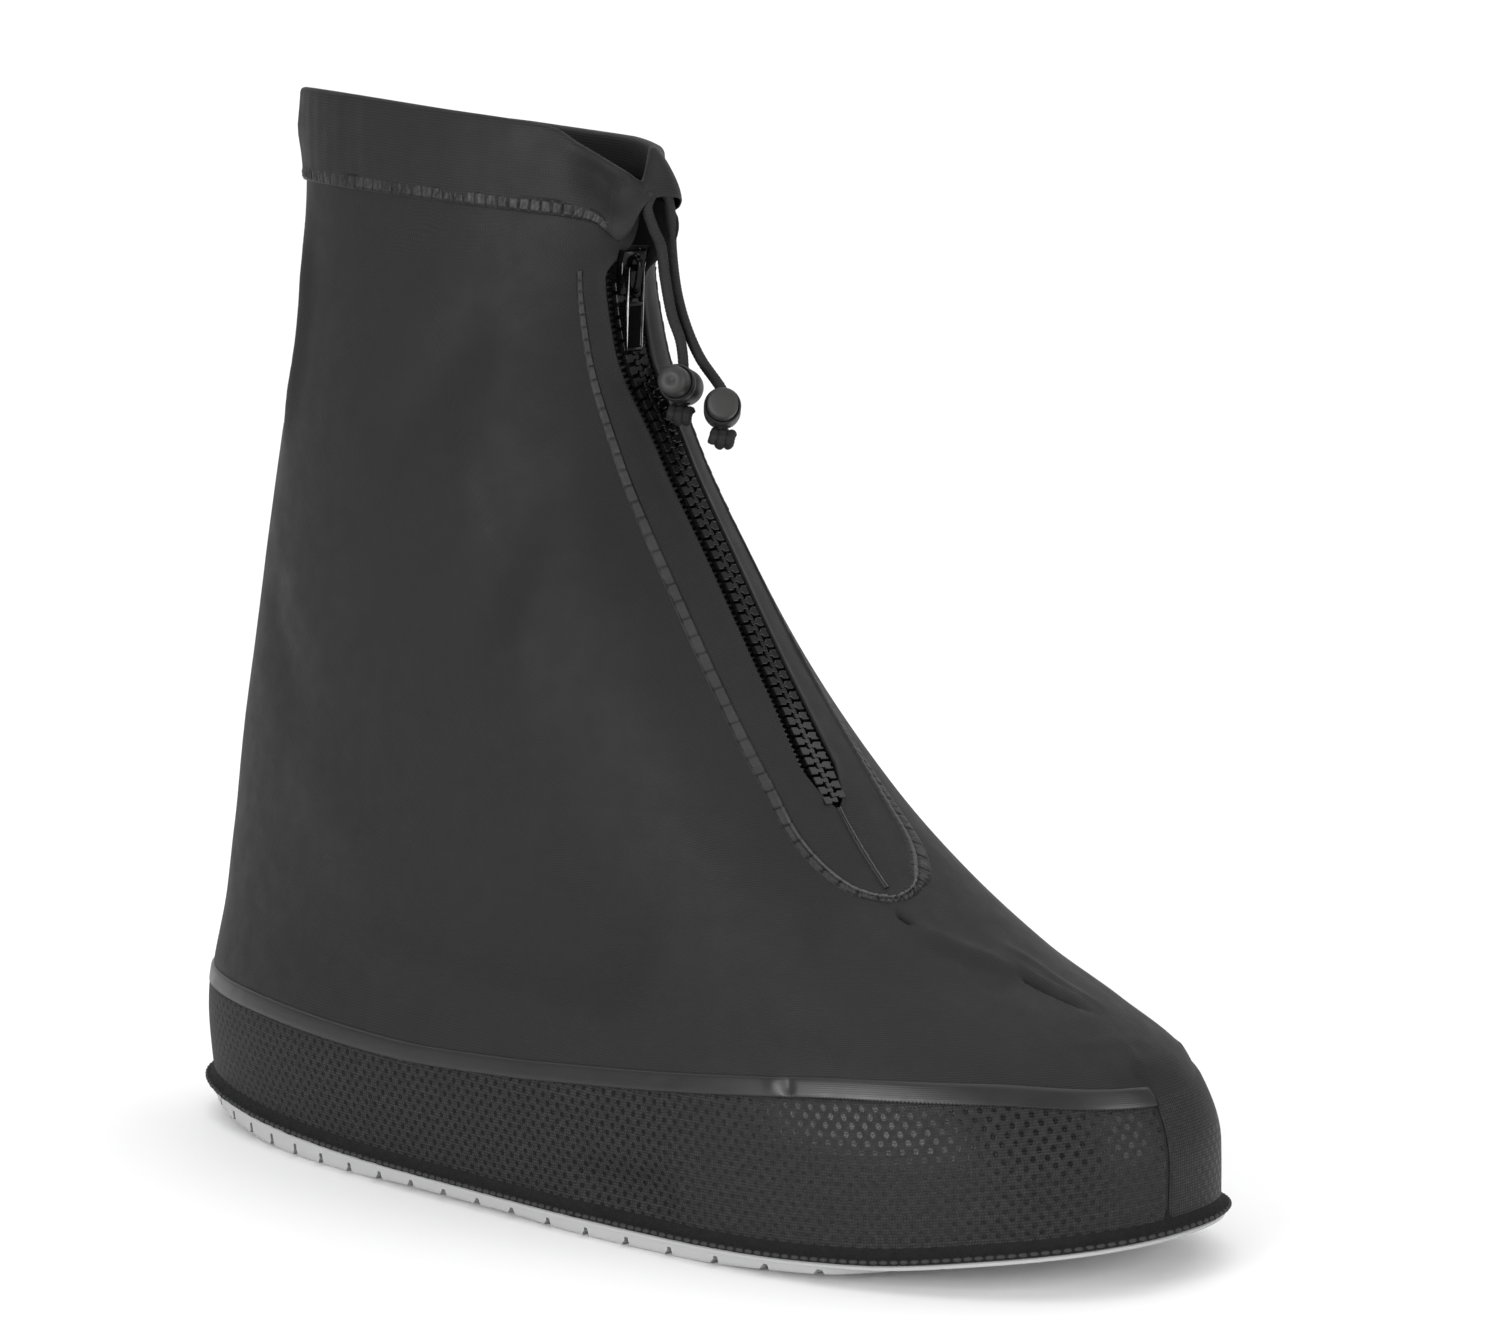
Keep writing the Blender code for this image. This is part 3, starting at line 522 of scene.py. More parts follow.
def smooth_path(points: Sequence[Sequence[float]], count: int) -> Array:
    """Evenly numbered points on a smooth curve through route points.

    Args:
        points: Route points.
        count: Points wanted.

    Returns:
        Points of the curve.
    """
    route = np.array(points, float)
    ends = np.vstack((2 * route[:1] - route[1:2], route, 2 * route[-1:] - route[-2:-1]))
    place = np.linspace(0, len(route) - 1, count)
    i = np.minimum(place.astype(int), len(route) - 2)
    u = (place - i)[:, None]
    a, b, c, d = (ends[i + k] for k in range(4))
    curve = 2 * b + (c - a) * u + (2 * a - 5 * b + 4 * c - d) * u ** 2
    return (curve + (3 * b - a - 3 * c + d) * u ** 3) / 2


@dataclass(frozen=True)
class BootForm:
    """Outer face of the upper, with its creases, as the solids have it."""

    sole_line: float = 10.0
    blend_height: float = 28.0
    waist_at: float = -35.0
    waist_spread: float = 45.0
    waist_outer: float = 0.05
    waist_inner: float = 0.10
    waist_top: float = 70.0
    toe_turn: float = 5.0
    toe_turn_from: float = 20.0
    toe_turn_run: float = 130.0
    toe_turn_most: float = 1.2
    toe_turn_top: float = 110.0
    fade_run: float = 60.0
    rim: float = 262.0
    rim_start: float = 200.0
    rim_fall: float = 8.0
    rim_side_lift: float = 4.5
    rim_growth: float = 1.3
    rim_cap: float = 1.2
    hem: float = 241.0
    mouth_at: float = -1.0
    mouth_outer: float = 26.0
    mouth_inner: float = 23.0
    mouth_power: float = 0.7
    slot_half: float = 5.4
    slot_top: float = 247.0
    slot_top_taper: float = 4.0
    slot_top_power: float = 0.5
    slot_bottom: float = 101.0
    slot_taper: float = 9.0
    slot_power: float = 0.6
    gape_from: float = 224.0
    gape_run: float = 11.0
    gape_inner: float = 3.4
    gape_outer: float = 5.0
    lean: float = 4.6
    lean_at: float = -12.0
    lean_half: float = 30.0
    slack: float = 0.35
    slack_wave: float = 80.0
    crease_fade: float = 0.3
    held_to: float = 2.5
    held_fade: float = 6.0

    def point(self, height: Array | float, angle: Array | float) -> Array:
        """Point of the smooth face, without creases.

        Args:
            height: Section height.
            angle: Angle, in radians.

        Returns:
            Points.
        """
        height, angle = np.broadcast_arrays(np.asarray(height, float), np.asarray(angle, float))
        back, front, widest, outer, inner, back_power, front_power = (
            SECTIONS.read(column, height) for column in range(1, 8))
        cosine = np.cos(angle)
        sine = np.sin(angle)
        ahead = cosine >= 0
        power = 2 / np.where(ahead, front_power, back_power)
        length = np.where(ahead, front - widest, widest - back)
        half = np.where(sine >= 0, outer, inner)
        x = widest + length * np.sign(cosine) * np.abs(cosine) ** power
        y = -half * np.sign(sine) * np.abs(sine) ** power
        low = np.clip((self.waist_top - height) / self.fade_run, 0, 1)
        pinch = bell(x - self.waist_at, self.waist_spread)
        y = y * (1 - low * pinch * np.where(y < 0, self.waist_outer, self.waist_inner))
        turn = np.clip((x - self.toe_turn_from) / self.toe_turn_run, 0, self.toe_turn_most) ** 2
        y = y + self.toe_turn * turn * np.clip((self.toe_turn_top - height) / self.fade_run, 0, 1)
        lift = np.maximum((height - self.rim_start) / (self.rim - self.rim_start), 0)
        lift = lift ** self.rim_growth
        forward = (x - back) / (front - back)
        z = height - self.rim_fall * lift * forward - self.rim_side_lift * lift * y / half
        foot = (self.blend_height - height) / (self.blend_height - self.sole_line)
        z = z + np.clip(foot, 0, 1) * (LEVELS.read(1, x) - self.sole_line)
        return np.stack((x, y, z), -1)

    def normal(self, height: Array | float, angle: Array | float) -> Array:
        """Outward direction of the smooth face.

        Args:
            height: Section height.
            angle: Angle, in radians.

        Returns:
            Unit vectors.
        """
        height = np.maximum(height, self.sole_line + 0.5)
        along = self.point(height, angle + 0.01) - self.point(height, angle - 0.01)
        up = self.point(height + 0.5, angle) - self.point(height - 0.5, angle)
        return unit(np.cross(up, along))

    def pace(self, height: Array, angle: Array) -> Array:
        """Distance round the section for each radian."""
        step = self.point(height, angle + 0.005) - self.point(height, angle - 0.005)
        return np.linalg.norm(step, axis=-1) * 100

    def relief(self, points: Array) -> tuple[Array, Array]:
        """How far creases and the slack of the cloth lift the face, and the painted shade and light
        of the creases.

        Args:
            points: Points of the smooth face.

        Returns:
            Rise, and tone of the painted shade and light, for each point.
        """
        total = self.slack * ripple(points, self.slack_wave, Seed.SLACK)
        tone = np.zeros(len(points))
        for crease in CREASES:
            route = smooth_path([(*place, 0.0) for place in crease.route], 9)
            line = self.point(route[:, 0], np.radians(route[:, 1]))
            best = np.full(len(points), np.inf)
            place = np.zeros(len(points))
            for k, (a, b) in enumerate(zip(line, line[1:])):
                way = b - a
                share = np.clip((points - a) @ way / (way @ way), 0, 1)
                away = ((points - a - share[:, None] * way) ** 2).sum(1)
                place = np.where(away < best, (k + share) / (len(line) - 1), place)
                best = np.minimum(best, away)
            fade = ease(place / self.crease_fade) * ease((1 - place) / self.crease_fade)
            share = np.exp(-best / crease.half ** 2) * fade
            total += crease.rise * share
            tone += crease.tone * share
        return total, tone

    def tone(self, height: Array, angle: Array) -> Array:
        """Painted shade and light of the creases."""
        return self.relief(self.point(height, angle))[1]

    def skin(self, height: Array, angle: Array, off: Array | float = 0.0) -> Array:
        """Points a set distance off the creased face.

        Args:
            height: Section height.
            angle: Angle, in radians.
            off: Distance outwards.

        Returns:
            Points.
        """
        base = self.point(height, angle)
        front = bell(self.degrees(angle) - self.lean_at, self.lean_half)
        lean = self.lean * front * ease((height - self.hem) / (self.rim - self.hem))
        return base + self.normal(height, angle) * (off - lean + self.relief(base)[0])[:, None]

    def foot(self, angle: Array, rise: Array, off: Array | float) -> Array:
        """Points of the foot, their rise counted from the flange.

        Args:
            angle: Angle round the foot, in radians.
            rise: Height over the flange.
            off: Distance off the upper.

        Returns:
            Points.
        """
        flange = self.level(1, angle)
        level = flange + rise
        blend = self.blend_height
        low = self.sole_line + rise * (blend - self.sole_line) / (blend - flange)
        points = self.skin(np.where(level < blend, low, level), angle, off)
        held = 1 - ease((rise - self.held_to) / self.held_fade)
        points[:, 2] += held * (LEVELS.read(1, points[:, 0]) + rise - points[:, 2])
        return points

    def level(self, column: int, angle: Array) -> Array:
        """Column of the levels along the shoe, read round the foot."""
        return LEVELS.read(column, self.point(self.blend_height, angle)[:, 0])

    def band_rise(self, angle: Array) -> Array:
        """Height of the band's top over the flange."""
        return self.level(2, angle) - self.level(1, angle)

    def angle_at(self, height: Array, arc: Array) -> Array:
        """Angle that lies a set distance round the section from the front centre.

        Args:
            height: Section height.
            arc: Distance, outer side positive.

        Returns:
            Angles in radians.
        """
        steps = 16
        angle = np.zeros(np.broadcast(height, arc).shape)
        for _ in range(steps):
            angle = angle + arc / steps / self.pace(height, angle)
        return angle

    def rim_height(self, angle: Array) -> Array:
        """Height of the folded rim."""
        return RIM_LINE.read(1, self.degrees(angle))

    def hem_edge(self, angle: Array) -> Array:
        """Height of the hem's lower edge."""
        return HEM_LINE.read(1, self.degrees(angle))

    def mouth(self, angle: Array) -> Array:
        """Share of the cord mouth.

        Args:
            angle: Angles round the collar.

        Returns:
            1 in its middle, 0 outside.
        """
        away = self.degrees(angle) - self.mouth_at
        place = np.clip(away / np.where(away > 0, self.mouth_outer, self.mouth_inner), -1, 1)
        return np.maximum(np.cos(place * math.pi / 2), 0) ** self.mouth_power

    def slot(self, height: Array) -> tuple[Array, Array]:
        """Distances of the zip slot's inner and outer edge from the front centre.

        Args:
            height: Section heights.

        Returns:
            Inner edge and outer edge; they meet where there is no slot.
        """
        low = np.clip((height - self.slot_bottom) / self.slot_taper, 0, 1) ** self.slot_power
        high = np.clip((self.slot_top - height) / self.slot_top_taper, 0, 1)
        gape = ease((height - self.gape_from) / self.gape_run)
        middle = ZIP_LINE.read(1, height) - (self.gape_inner + self.gape_outer) / 2 * gape
        half = self.slot_half + (self.gape_inner - self.gape_outer) / 2 * gape
        half = half * low * high ** self.slot_top_power
        return middle - half, middle + half

    @staticmethod
    def degrees(angle: Array) -> Array:
        """Angle from the front in degrees, outer side positive."""
        return (np.degrees(angle) + 180) % 360 - 180

    def zip_angle(self, height: Array) -> Array:
        """Angle of the zip's middle."""
        return self.angle_at(height, ZIP_LINE.read(1, height))

    def zip_frames(self, height: Array) -> tuple[Array, Array, Array, Array]:
        """Frames on the zip line.

        Args:
            height: Section heights.

        Returns:
            Points, ways up the line, sideways to the outer side, and outward.
        """
        low, middle, high = (self.point(at, self.zip_angle(at))
                             for at in (height - 1, height, height + 1))
        outward = self.normal(height, self.zip_angle(height))
        up = high - low
        up = unit(up - outward * (up * outward).sum(1, keepdims=True))
        return middle, up, np.cross(outward, up), outward


def lay_sheet(columns: int, rows: int, place: Lay, chart: Lay | None = None,
              tone: Lay | None = None) -> Mesh:
    """Lay a grid on a surface, mapped in metres of its own length, and weld its meeting edges.

    Args:
        columns: Faces across.
        rows: Faces along.
        place: Gives points for shares across and along.
        chart: Gives dot columns, dot rows and whether there are dots, for a dotted sheet.
        tone: Gives the tone, painted shade and light among it, for a sheet with a toned finish.

    Returns:
        The mesh, in millimetres.
    """
    bm = bmesh.new()
    bmesh.ops.create_grid(bm, x_segments=columns, y_segments=rows, size=1.0)
    bm.verts.index_update()
    u, v = (np.round(np.array([vert.co.xy for vert in bm.verts]), 6).T + 1) / 2
    points = place(u, v)
    order = np.lexsort((u, v))
    grid = points[order].reshape(rows + 1, columns + 1, 3)
    across = np.zeros(grid.shape[:2])
    across[:, 1:] = np.linalg.norm(np.diff(grid, axis=1), axis=2).cumsum(1)
    along = np.zeros(grid.shape[:2])
    along[1:] = np.linalg.norm(np.diff(grid, axis=0), axis=2).cumsum(0)
    pattern = np.empty((len(points), 2))
    pattern[order] = np.stack((across.ravel(), along.ravel()), 1) * MM
    maps = {"pattern": pattern}
    values = {"tone": tone(u, v)} if tone else {}
    if chart:
        counts = chart(u, v)
        maps["dots"] = counts[:, :2]
        values["dotted"] = counts[:, 2]
    for name, data in maps.items():
        layer = bm.loops.layers.uv.new(name)
        for face in bm.faces:
            for loop in face.loops:
                loop[layer].uv = data[loop.vert.index]
    for name, data in values.items():
        layer = bm.verts.layers.float.new(name)
        for vert in bm.verts:
            vert[layer] = data[vert.index]
    for vert, point in zip(bm.verts, points):
        vert.co = point
    bmesh.ops.remove_doubles(bm, verts=bm.verts, dist=WELD)
    return bm


def path_frames(path: Array) -> tuple[Array, Array]:
    """Frames that run along a path without twisting.

    Args:
        path: Points.

    Returns:
        Two sideways directions at each point.
    """
    ahead = unit(np.gradient(path, axis=0))
    sides = [unit(np.cross(ahead[0], (0.3, 0.9, 0.31)))]
    for way in ahead[1:]:
        sides.append(unit(sides[-1] - way * (sides[-1] @ way)))
    side = np.array(sides)
    return side, np.cross(ahead, side)


def lay_tube(path: Array, radius: float, around: int, relief: Lay) -> Mesh:
    """Tube along a path, closed at both ends.

    Args:
        path: Points.
        radius: Radius.
        around: Faces round it.
        relief: Gives the rise for angles round the tube and lengths along it.

    Returns:
        The mesh.
    """
    side, other = path_frames(path)
    length = lengths_along(path)

    def place(u: Array, v: Array) -> Array:
        """Place the grid.

        Args:
            u: Share round the tube.
            v: Share along it.

        Returns:
            Points.
        """
        row = nearest(len(path), v)
        angle = u * FULL_TURN
        out = np.cos(angle)[:, None] * side[row] + np.sin(angle)[:, None] * other[row]
        return path[row] + (radius + relief(angle, length[row]))[:, None] * out

    bm = lay_sheet(around, len(path) - 1, place)
    bmesh.ops.holes_fill(bm, edges=[edge for edge in bm.edges if edge.is_boundary], sides=0)
    return bm


def lay_ribbon(points: Array, outward: Array, profile: Array, widths: Array,
               relief: Callable[[Array, Array], tuple[Array, Array]]) -> Mesh:
    """Ribbon laid along points, with a set cross profile.

    Args:
        points: Points of its middle line.
        outward: Directions off the face.
        profile: Pairs of distance across, in half widths, and rise, from edge to edge.
        widths: Half width at each point.
        relief: Gives a further rise and the tone for distances across, in half widths, and
            lengths along.

    Returns:
        The mesh.
    """
    side = unit(np.cross(np.gradient(points, axis=0), outward))
    length = lengths_along(points)

    def place(u: Array, v: Array) -> Array:
        """Place the grid.

        Args:
            u: Share across the ribbon.
            v: Share along it.

        Returns:
            Points.
        """
        row = nearest(len(points), v)
        across, rise = profile[nearest(len(profile), u)].T
        rise = rise + relief(across, length[row])[0]
        sideways = side[row] * (across * widths[row])[:, None]
        return points[row] + sideways + outward[row] * rise[:, None]

    def tone(u: Array, v: Array) -> Array:
        """Tone for shares across and along the ribbon."""
        across = profile[nearest(len(profile), u), 0]
        return relief(across, length[nearest(len(points), v)])[1]

    return lay_sheet(len(profile) - 1, len(points) - 1, place, tone=tone)


def turned(profile: Rows, steps: int) -> Mesh:
    """Body turned about its own Z.

    Args:
        profile: Pairs of radius and height that start and end on the axis.
        steps: Faces round it.

    Returns:
        The mesh.
    """
    bm = bmesh.new()
    verts = [bm.verts.new((radius, 0, height)) for radius, height in profile]
    edges = [bm.edges.new(pair) for pair in zip(verts, verts[1:])]
    bmesh.ops.spin(bm, geom=verts + edges, cent=(0, 0, 0), axis=(0, 0, 1), angle=FULL_TURN,
                   steps=steps, use_merge=True, use_duplicate=False)
    bmesh.ops.remove_doubles(bm, verts=bm.verts, dist=WELD)
    bmesh.ops.recalc_face_normals(bm, faces=bm.faces)
    return bm


def frame_matrix(origin: Sequence[float], x: Sequence[float], y: Sequence[float],
                 z: Sequence[float]) -> Matrix:
    """Matrix that places a shape made at the origin on three axes."""
    turn = Matrix((Vector(x), Vector(y), Vector(z))).transposed().to_4x4()
    return Matrix.Translation(Vector(origin)) @ turn


def move(bm: Mesh, place: Matrix) -> None:
    """Move a whole mesh to its place."""
    bmesh.ops.transform(bm, matrix=place, verts=bm.verts)


def round_edges(bm: Mesh, edges: list[bmesh.types.BMEdge], width: float, segments: int) -> None:
    """Round edges off over a width, with a number of faces across."""
    bmesh.ops.bevel(bm, geom=edges, offset=width, segments=segments, affect="EDGES", profile=0.5,
                    material=-1)


def sharp_edges(bm: Mesh, angle: float) -> list[bmesh.types.BMEdge]:
    """Edges that bend by more than an angle in radians."""
    return [edge for edge in bm.edges if edge.calc_face_angle(0) > angle]


def new_verts(made: Sequence[bmesh.types.BMVert | bmesh.types.BMEdge | bmesh.types.BMFace]
              ) -> list[bmesh.types.BMVert]:
    """Vertices among the things that an operator made."""
    return [item for item in made if isinstance(item, bmesh.types.BMVert)]


def add_block(bm: Mesh, low: Triple, high: Triple, round_off: float = 0.0,
              matrix: Matrix = Matrix()) -> None:
    """Add a block, with rounded edges if wanted.

    Args:
        bm: Mesh that gets it.
        low: Lowest corner.
        high: Highest corner.
        round_off: Width of its edge rounding.
        matrix: Place of the block.
    """
    verts = bmesh.ops.create_cube(bm, size=1.0)["verts"]
    bmesh.ops.scale(bm, verts=verts, vec=[b - a for a, b in zip(low, high)])
    bmesh.ops.translate(bm, verts=verts, vec=[(a + b) / 2 for a, b in zip(low, high)])
    bmesh.ops.transform(bm, matrix=matrix, verts=verts)
    if round_off > 0:
        round_edges(bm, list({edge for vert in verts for edge in vert.link_edges}), round_off, 1)


def to_data(name: str, bm: Mesh) -> bpy.types.Mesh:
    """Turn a mesh that was being worked on into mesh data.

    Args:
        name: Name of the data.
        bm: The mesh; it is freed.

    Returns:
        The data.
    """
    data = bpy.data.meshes.new(name)
    bm.to_mesh(data)
    bm.free()
    return data


def add_object(name: str, data: bpy.types.ID) -> Piece:
    """Add an object to the scene.

    Args:
        name: Its name.
        data: Its mesh, light or camera.

    Returns:
        The object, at the origin.
    """
    made = bpy.data.objects.new(name, data)
    bpy.context.scene.collection.objects.link(made)
    return made


def add_copies(bm: Mesh, shape: Mesh, places: Sequence[Matrix]) -> None:
    """Add copies of a small shape.

    Args:
        bm: Mesh that gets them.
        shape: Shape to copy; it is freed.
        places: Place of each copy.
    """
    pattern = to_data("pattern_shape", shape)
    for place in places:
        before = len(bm.verts)
        bm.from_mesh(pattern)
        bm.verts.ensure_lookup_table()
        bmesh.ops.transform(bm, matrix=place, verts=bm.verts[before:])
    bpy.data.meshes.remove(pattern)


def cut_mesh(bm: Mesh, cutter: Mesh) -> Mesh:
    """Cut one closed mesh with another.

    Args:
        bm: Mesh to cut; it is freed.
        cutter: Mesh that is taken away; it is freed.

    Returns:
        What is left.

    Raises:
        ValueError: If the cut leaves nothing.
    """
    body, tool = (add_object(name, to_data(name, source))
                  for name, source in (("cut_body", bm), ("cut_tool", cutter)))
    cut = body.modifiers.new("cut", "BOOLEAN")
    cut.operation = "DIFFERENCE"
    cut.solver = "EXACT"
    cut.object = tool
    graph = bpy.context.evaluated_depsgraph_get()
    done = bpy.data.meshes.new_from_object(body.evaluated_get(graph))
    left = bmesh.new()
    left.from_mesh(done)
    bpy.data.meshes.remove(done)
    if not left.faces:
        raise ValueError("the cut leaves nothing")
    for piece in (body, tool):
        data = piece.data
        bpy.data.objects.remove(piece, do_unlink=True)
        bpy.data.meshes.remove(data)
    return left


def add_piece(name: str, bm: Mesh, finishes: Sequence[Finish],
              replaces: Sequence[str] = (), body: Body = Body.SHOE,
              sharp: float = 42.0) -> Piece:
    """Make a piece of the shoe from a mesh in millimetres.

    Args:
        name: Name of the piece.
        bm: Its mesh; it is freed.
        finishes: Its finishes, the second one for the back of a sheet.
        replaces: Solids that it stands for.
        body: Body that it rides on.
        sharp: Angle in degrees over which an edge stays sharp.

    Returns:
        The new object.
    """
    bmesh.ops.scale(bm, verts=bm.verts, vec=(MM, MM, MM))
    mesh = to_data(name, bm)
    mesh.shade_smooth()
    mesh.set_sharp_from_angle(angle=math.radians(sharp))
    for finish in finishes:
        mesh.materials.append(bpy.data.materials.get(finish.name) or finish.material())
    piece = add_object(name, mesh)
    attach(piece, body.value)
    if replaces:
        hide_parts(*replaces)
    LOG.info("%s: %d faces", name, len(mesh.polygons))
    return piece


def thicken(piece: Piece, thick: float, back_finish: int = 0) -> None:
    """Give a sheet its thickness, inwards.

    Args:
        piece: Sheet.
        thick: Thickness in millimetres.
        back_finish: Steps to the finish of its back.
    """
    wall = piece.modifiers.new("wall", "SOLIDIFY")
    wall.thickness = thick * MM
    wall.offset = -1.0
    wall.material_offset = back_finish


@dataclass
class Upper:
    """Coated fabric upper, whose grid opens along the zip and closes below and above it."""

    form: BootForm
    fabric: Finish = Finish(
        "coated_fabric", (0.0119, 0.0119, 0.0121), 0.6, Pattern.WEAVE, pitch=0.7, relief=0.08,
        strength=0.6, mottle=0.1, mottle_size=14.0, specular=0.18, toned=True, thread=1.0)
    lining: Finish = Finish(
        "lining_cloth", (0.008, 0.008, 0.0082), 0.9, Pattern.WEAVE, pitch=0.8, relief=0.08,
        specular=0.12)
    columns: int = 276
    rows: int = 158
    crowd: float = 0.6
    wall: float = 1.2
    edge_rise: float = 0.5
    edge_half: float = 1.5
    slot_least: float = 0.4
    tuck: float = 3.0
    foot_share: float = 0.05
    vamp_share: float = 0.39
    vamp_top: float = 100.0
    shaft_share: float = 0.85
    shaft_top: float = 225.0
    band_rise: float = 1.15
    band_fade: float = 10.0
    flare: float = 3.8
    flare_half: float = 5.5
    flare_at: float = 238.0
    flare_tall: float = 9.0
    # painted shade on the upper behind the cord's mouth, rising from a height and fading in
    mouth_painted_shade: float = 0.95
    mouth_from: float = 229.0
    mouth_fade: float = 10.0

    def lines(self, u: Array, v: Array) -> tuple[Array, Array, Array, Array]:
        """Lay the grid from the inner edge of the slot round the heel to its outer edge.

        Args:
            u: Share round the shoe.
            v: Share from the flange to the rim.

        Returns:
            Heights, angles, and the angles of the slot's edges there.
        """
        form = self.form
        share = u - self.crowd * np.sin(FULL_TURN * u) / FULL_TURN
        start, end = self.edges(np.full(u.shape, form.rim))
        angle = start + (end - start) * share
        rim = form.rim_height(angle) - form.rim_cap
        low = form.level(2, angle) - self.tuck
        rest = (v - self.foot_share) / (1 - self.foot_share)
        vamp = rest / self.vamp_share
        shaft = (rest - self.vamp_share) / (self.shaft_share - self.vamp_share)
        collar = (rest - self.shaft_share) / (1 - self.shaft_share)
        height = np.select(
            [rest < 0, vamp < 1, shaft < 1],
            [form.sole_line + (low - form.sole_line) * v / self.foot_share,
             low + (self.vamp_top - low) * vamp,
             self.vamp_top + (self.shaft_top - self.vamp_top) * shaft],
            self.shaft_top + (rim - self.shaft_top) * collar)
        start, end = self.edges(height)
        return height, start + (end - start) * share, start, end

    def place(self, u: Array, v: Array) -> Array:
        """Place the grid, its edges raised along the slot and flared at the cord's mouth.

        Args:
            u: Share round the shoe.
            v: Share from the flange to the rim.

        Returns:
            Points.
        """
        form = self.form
        height, angle, start, end = self.lines(u, v)
        pace = form.pace(height, angle)
        inner, outer = form.slot(height)
        edge = bell(np.minimum(start - angle, angle - end) * pace, self.edge_half)
        near = bell((start - angle) * pace, self.flare_half)
        above = np.maximum(height - form.level(2, angle), 0)
        off = self.edge_rise * edge * (outer - inner > self.slot_least)
        off = off + self.band_rise * bell(above, self.band_fade)
        off = off + self.flare * near * bell(height - self.flare_at, self.flare_tall)
        return form.skin(height, angle, off)

    def tone(self, u: Array, v: Array) -> Array:
        """Painted shade and light of the creases, and painted shade behind the cords.

        Args:
            u: Share round the shoe.
            v: Share from the flange to the rim.

        Returns:
            Tones.
        """
        height, angle, _, _ = self.lines(u, v)
        # painted shade on the upper behind the cords, deep in the hem's mouth
        dark = self.mouth_painted_shade * ease((height - self.mouth_from) / self.mouth_fade)
        return self.form.tone(height, angle) - dark * self.form.mouth(angle)

    def edges(self, height: Array) -> tuple[Array, Array]:
        """Angles of the slot's inner edge and of its outer edge, one turn back."""
        inner, outer = self.form.slot(height)
        return self.form.angle_at(height, inner), self.form.angle_at(height, outer) - FULL_TURN

    def build(self) -> None:
        """Make the upper and give it its wall and lining."""
        sheet = lay_sheet(self.columns, self.rows, self.place, tone=self.tone)
        thicken(add_piece("coated_upper", sheet, (self.fabric, self.lining),
                          ("upper",), sharp=60), self.wall, 1)


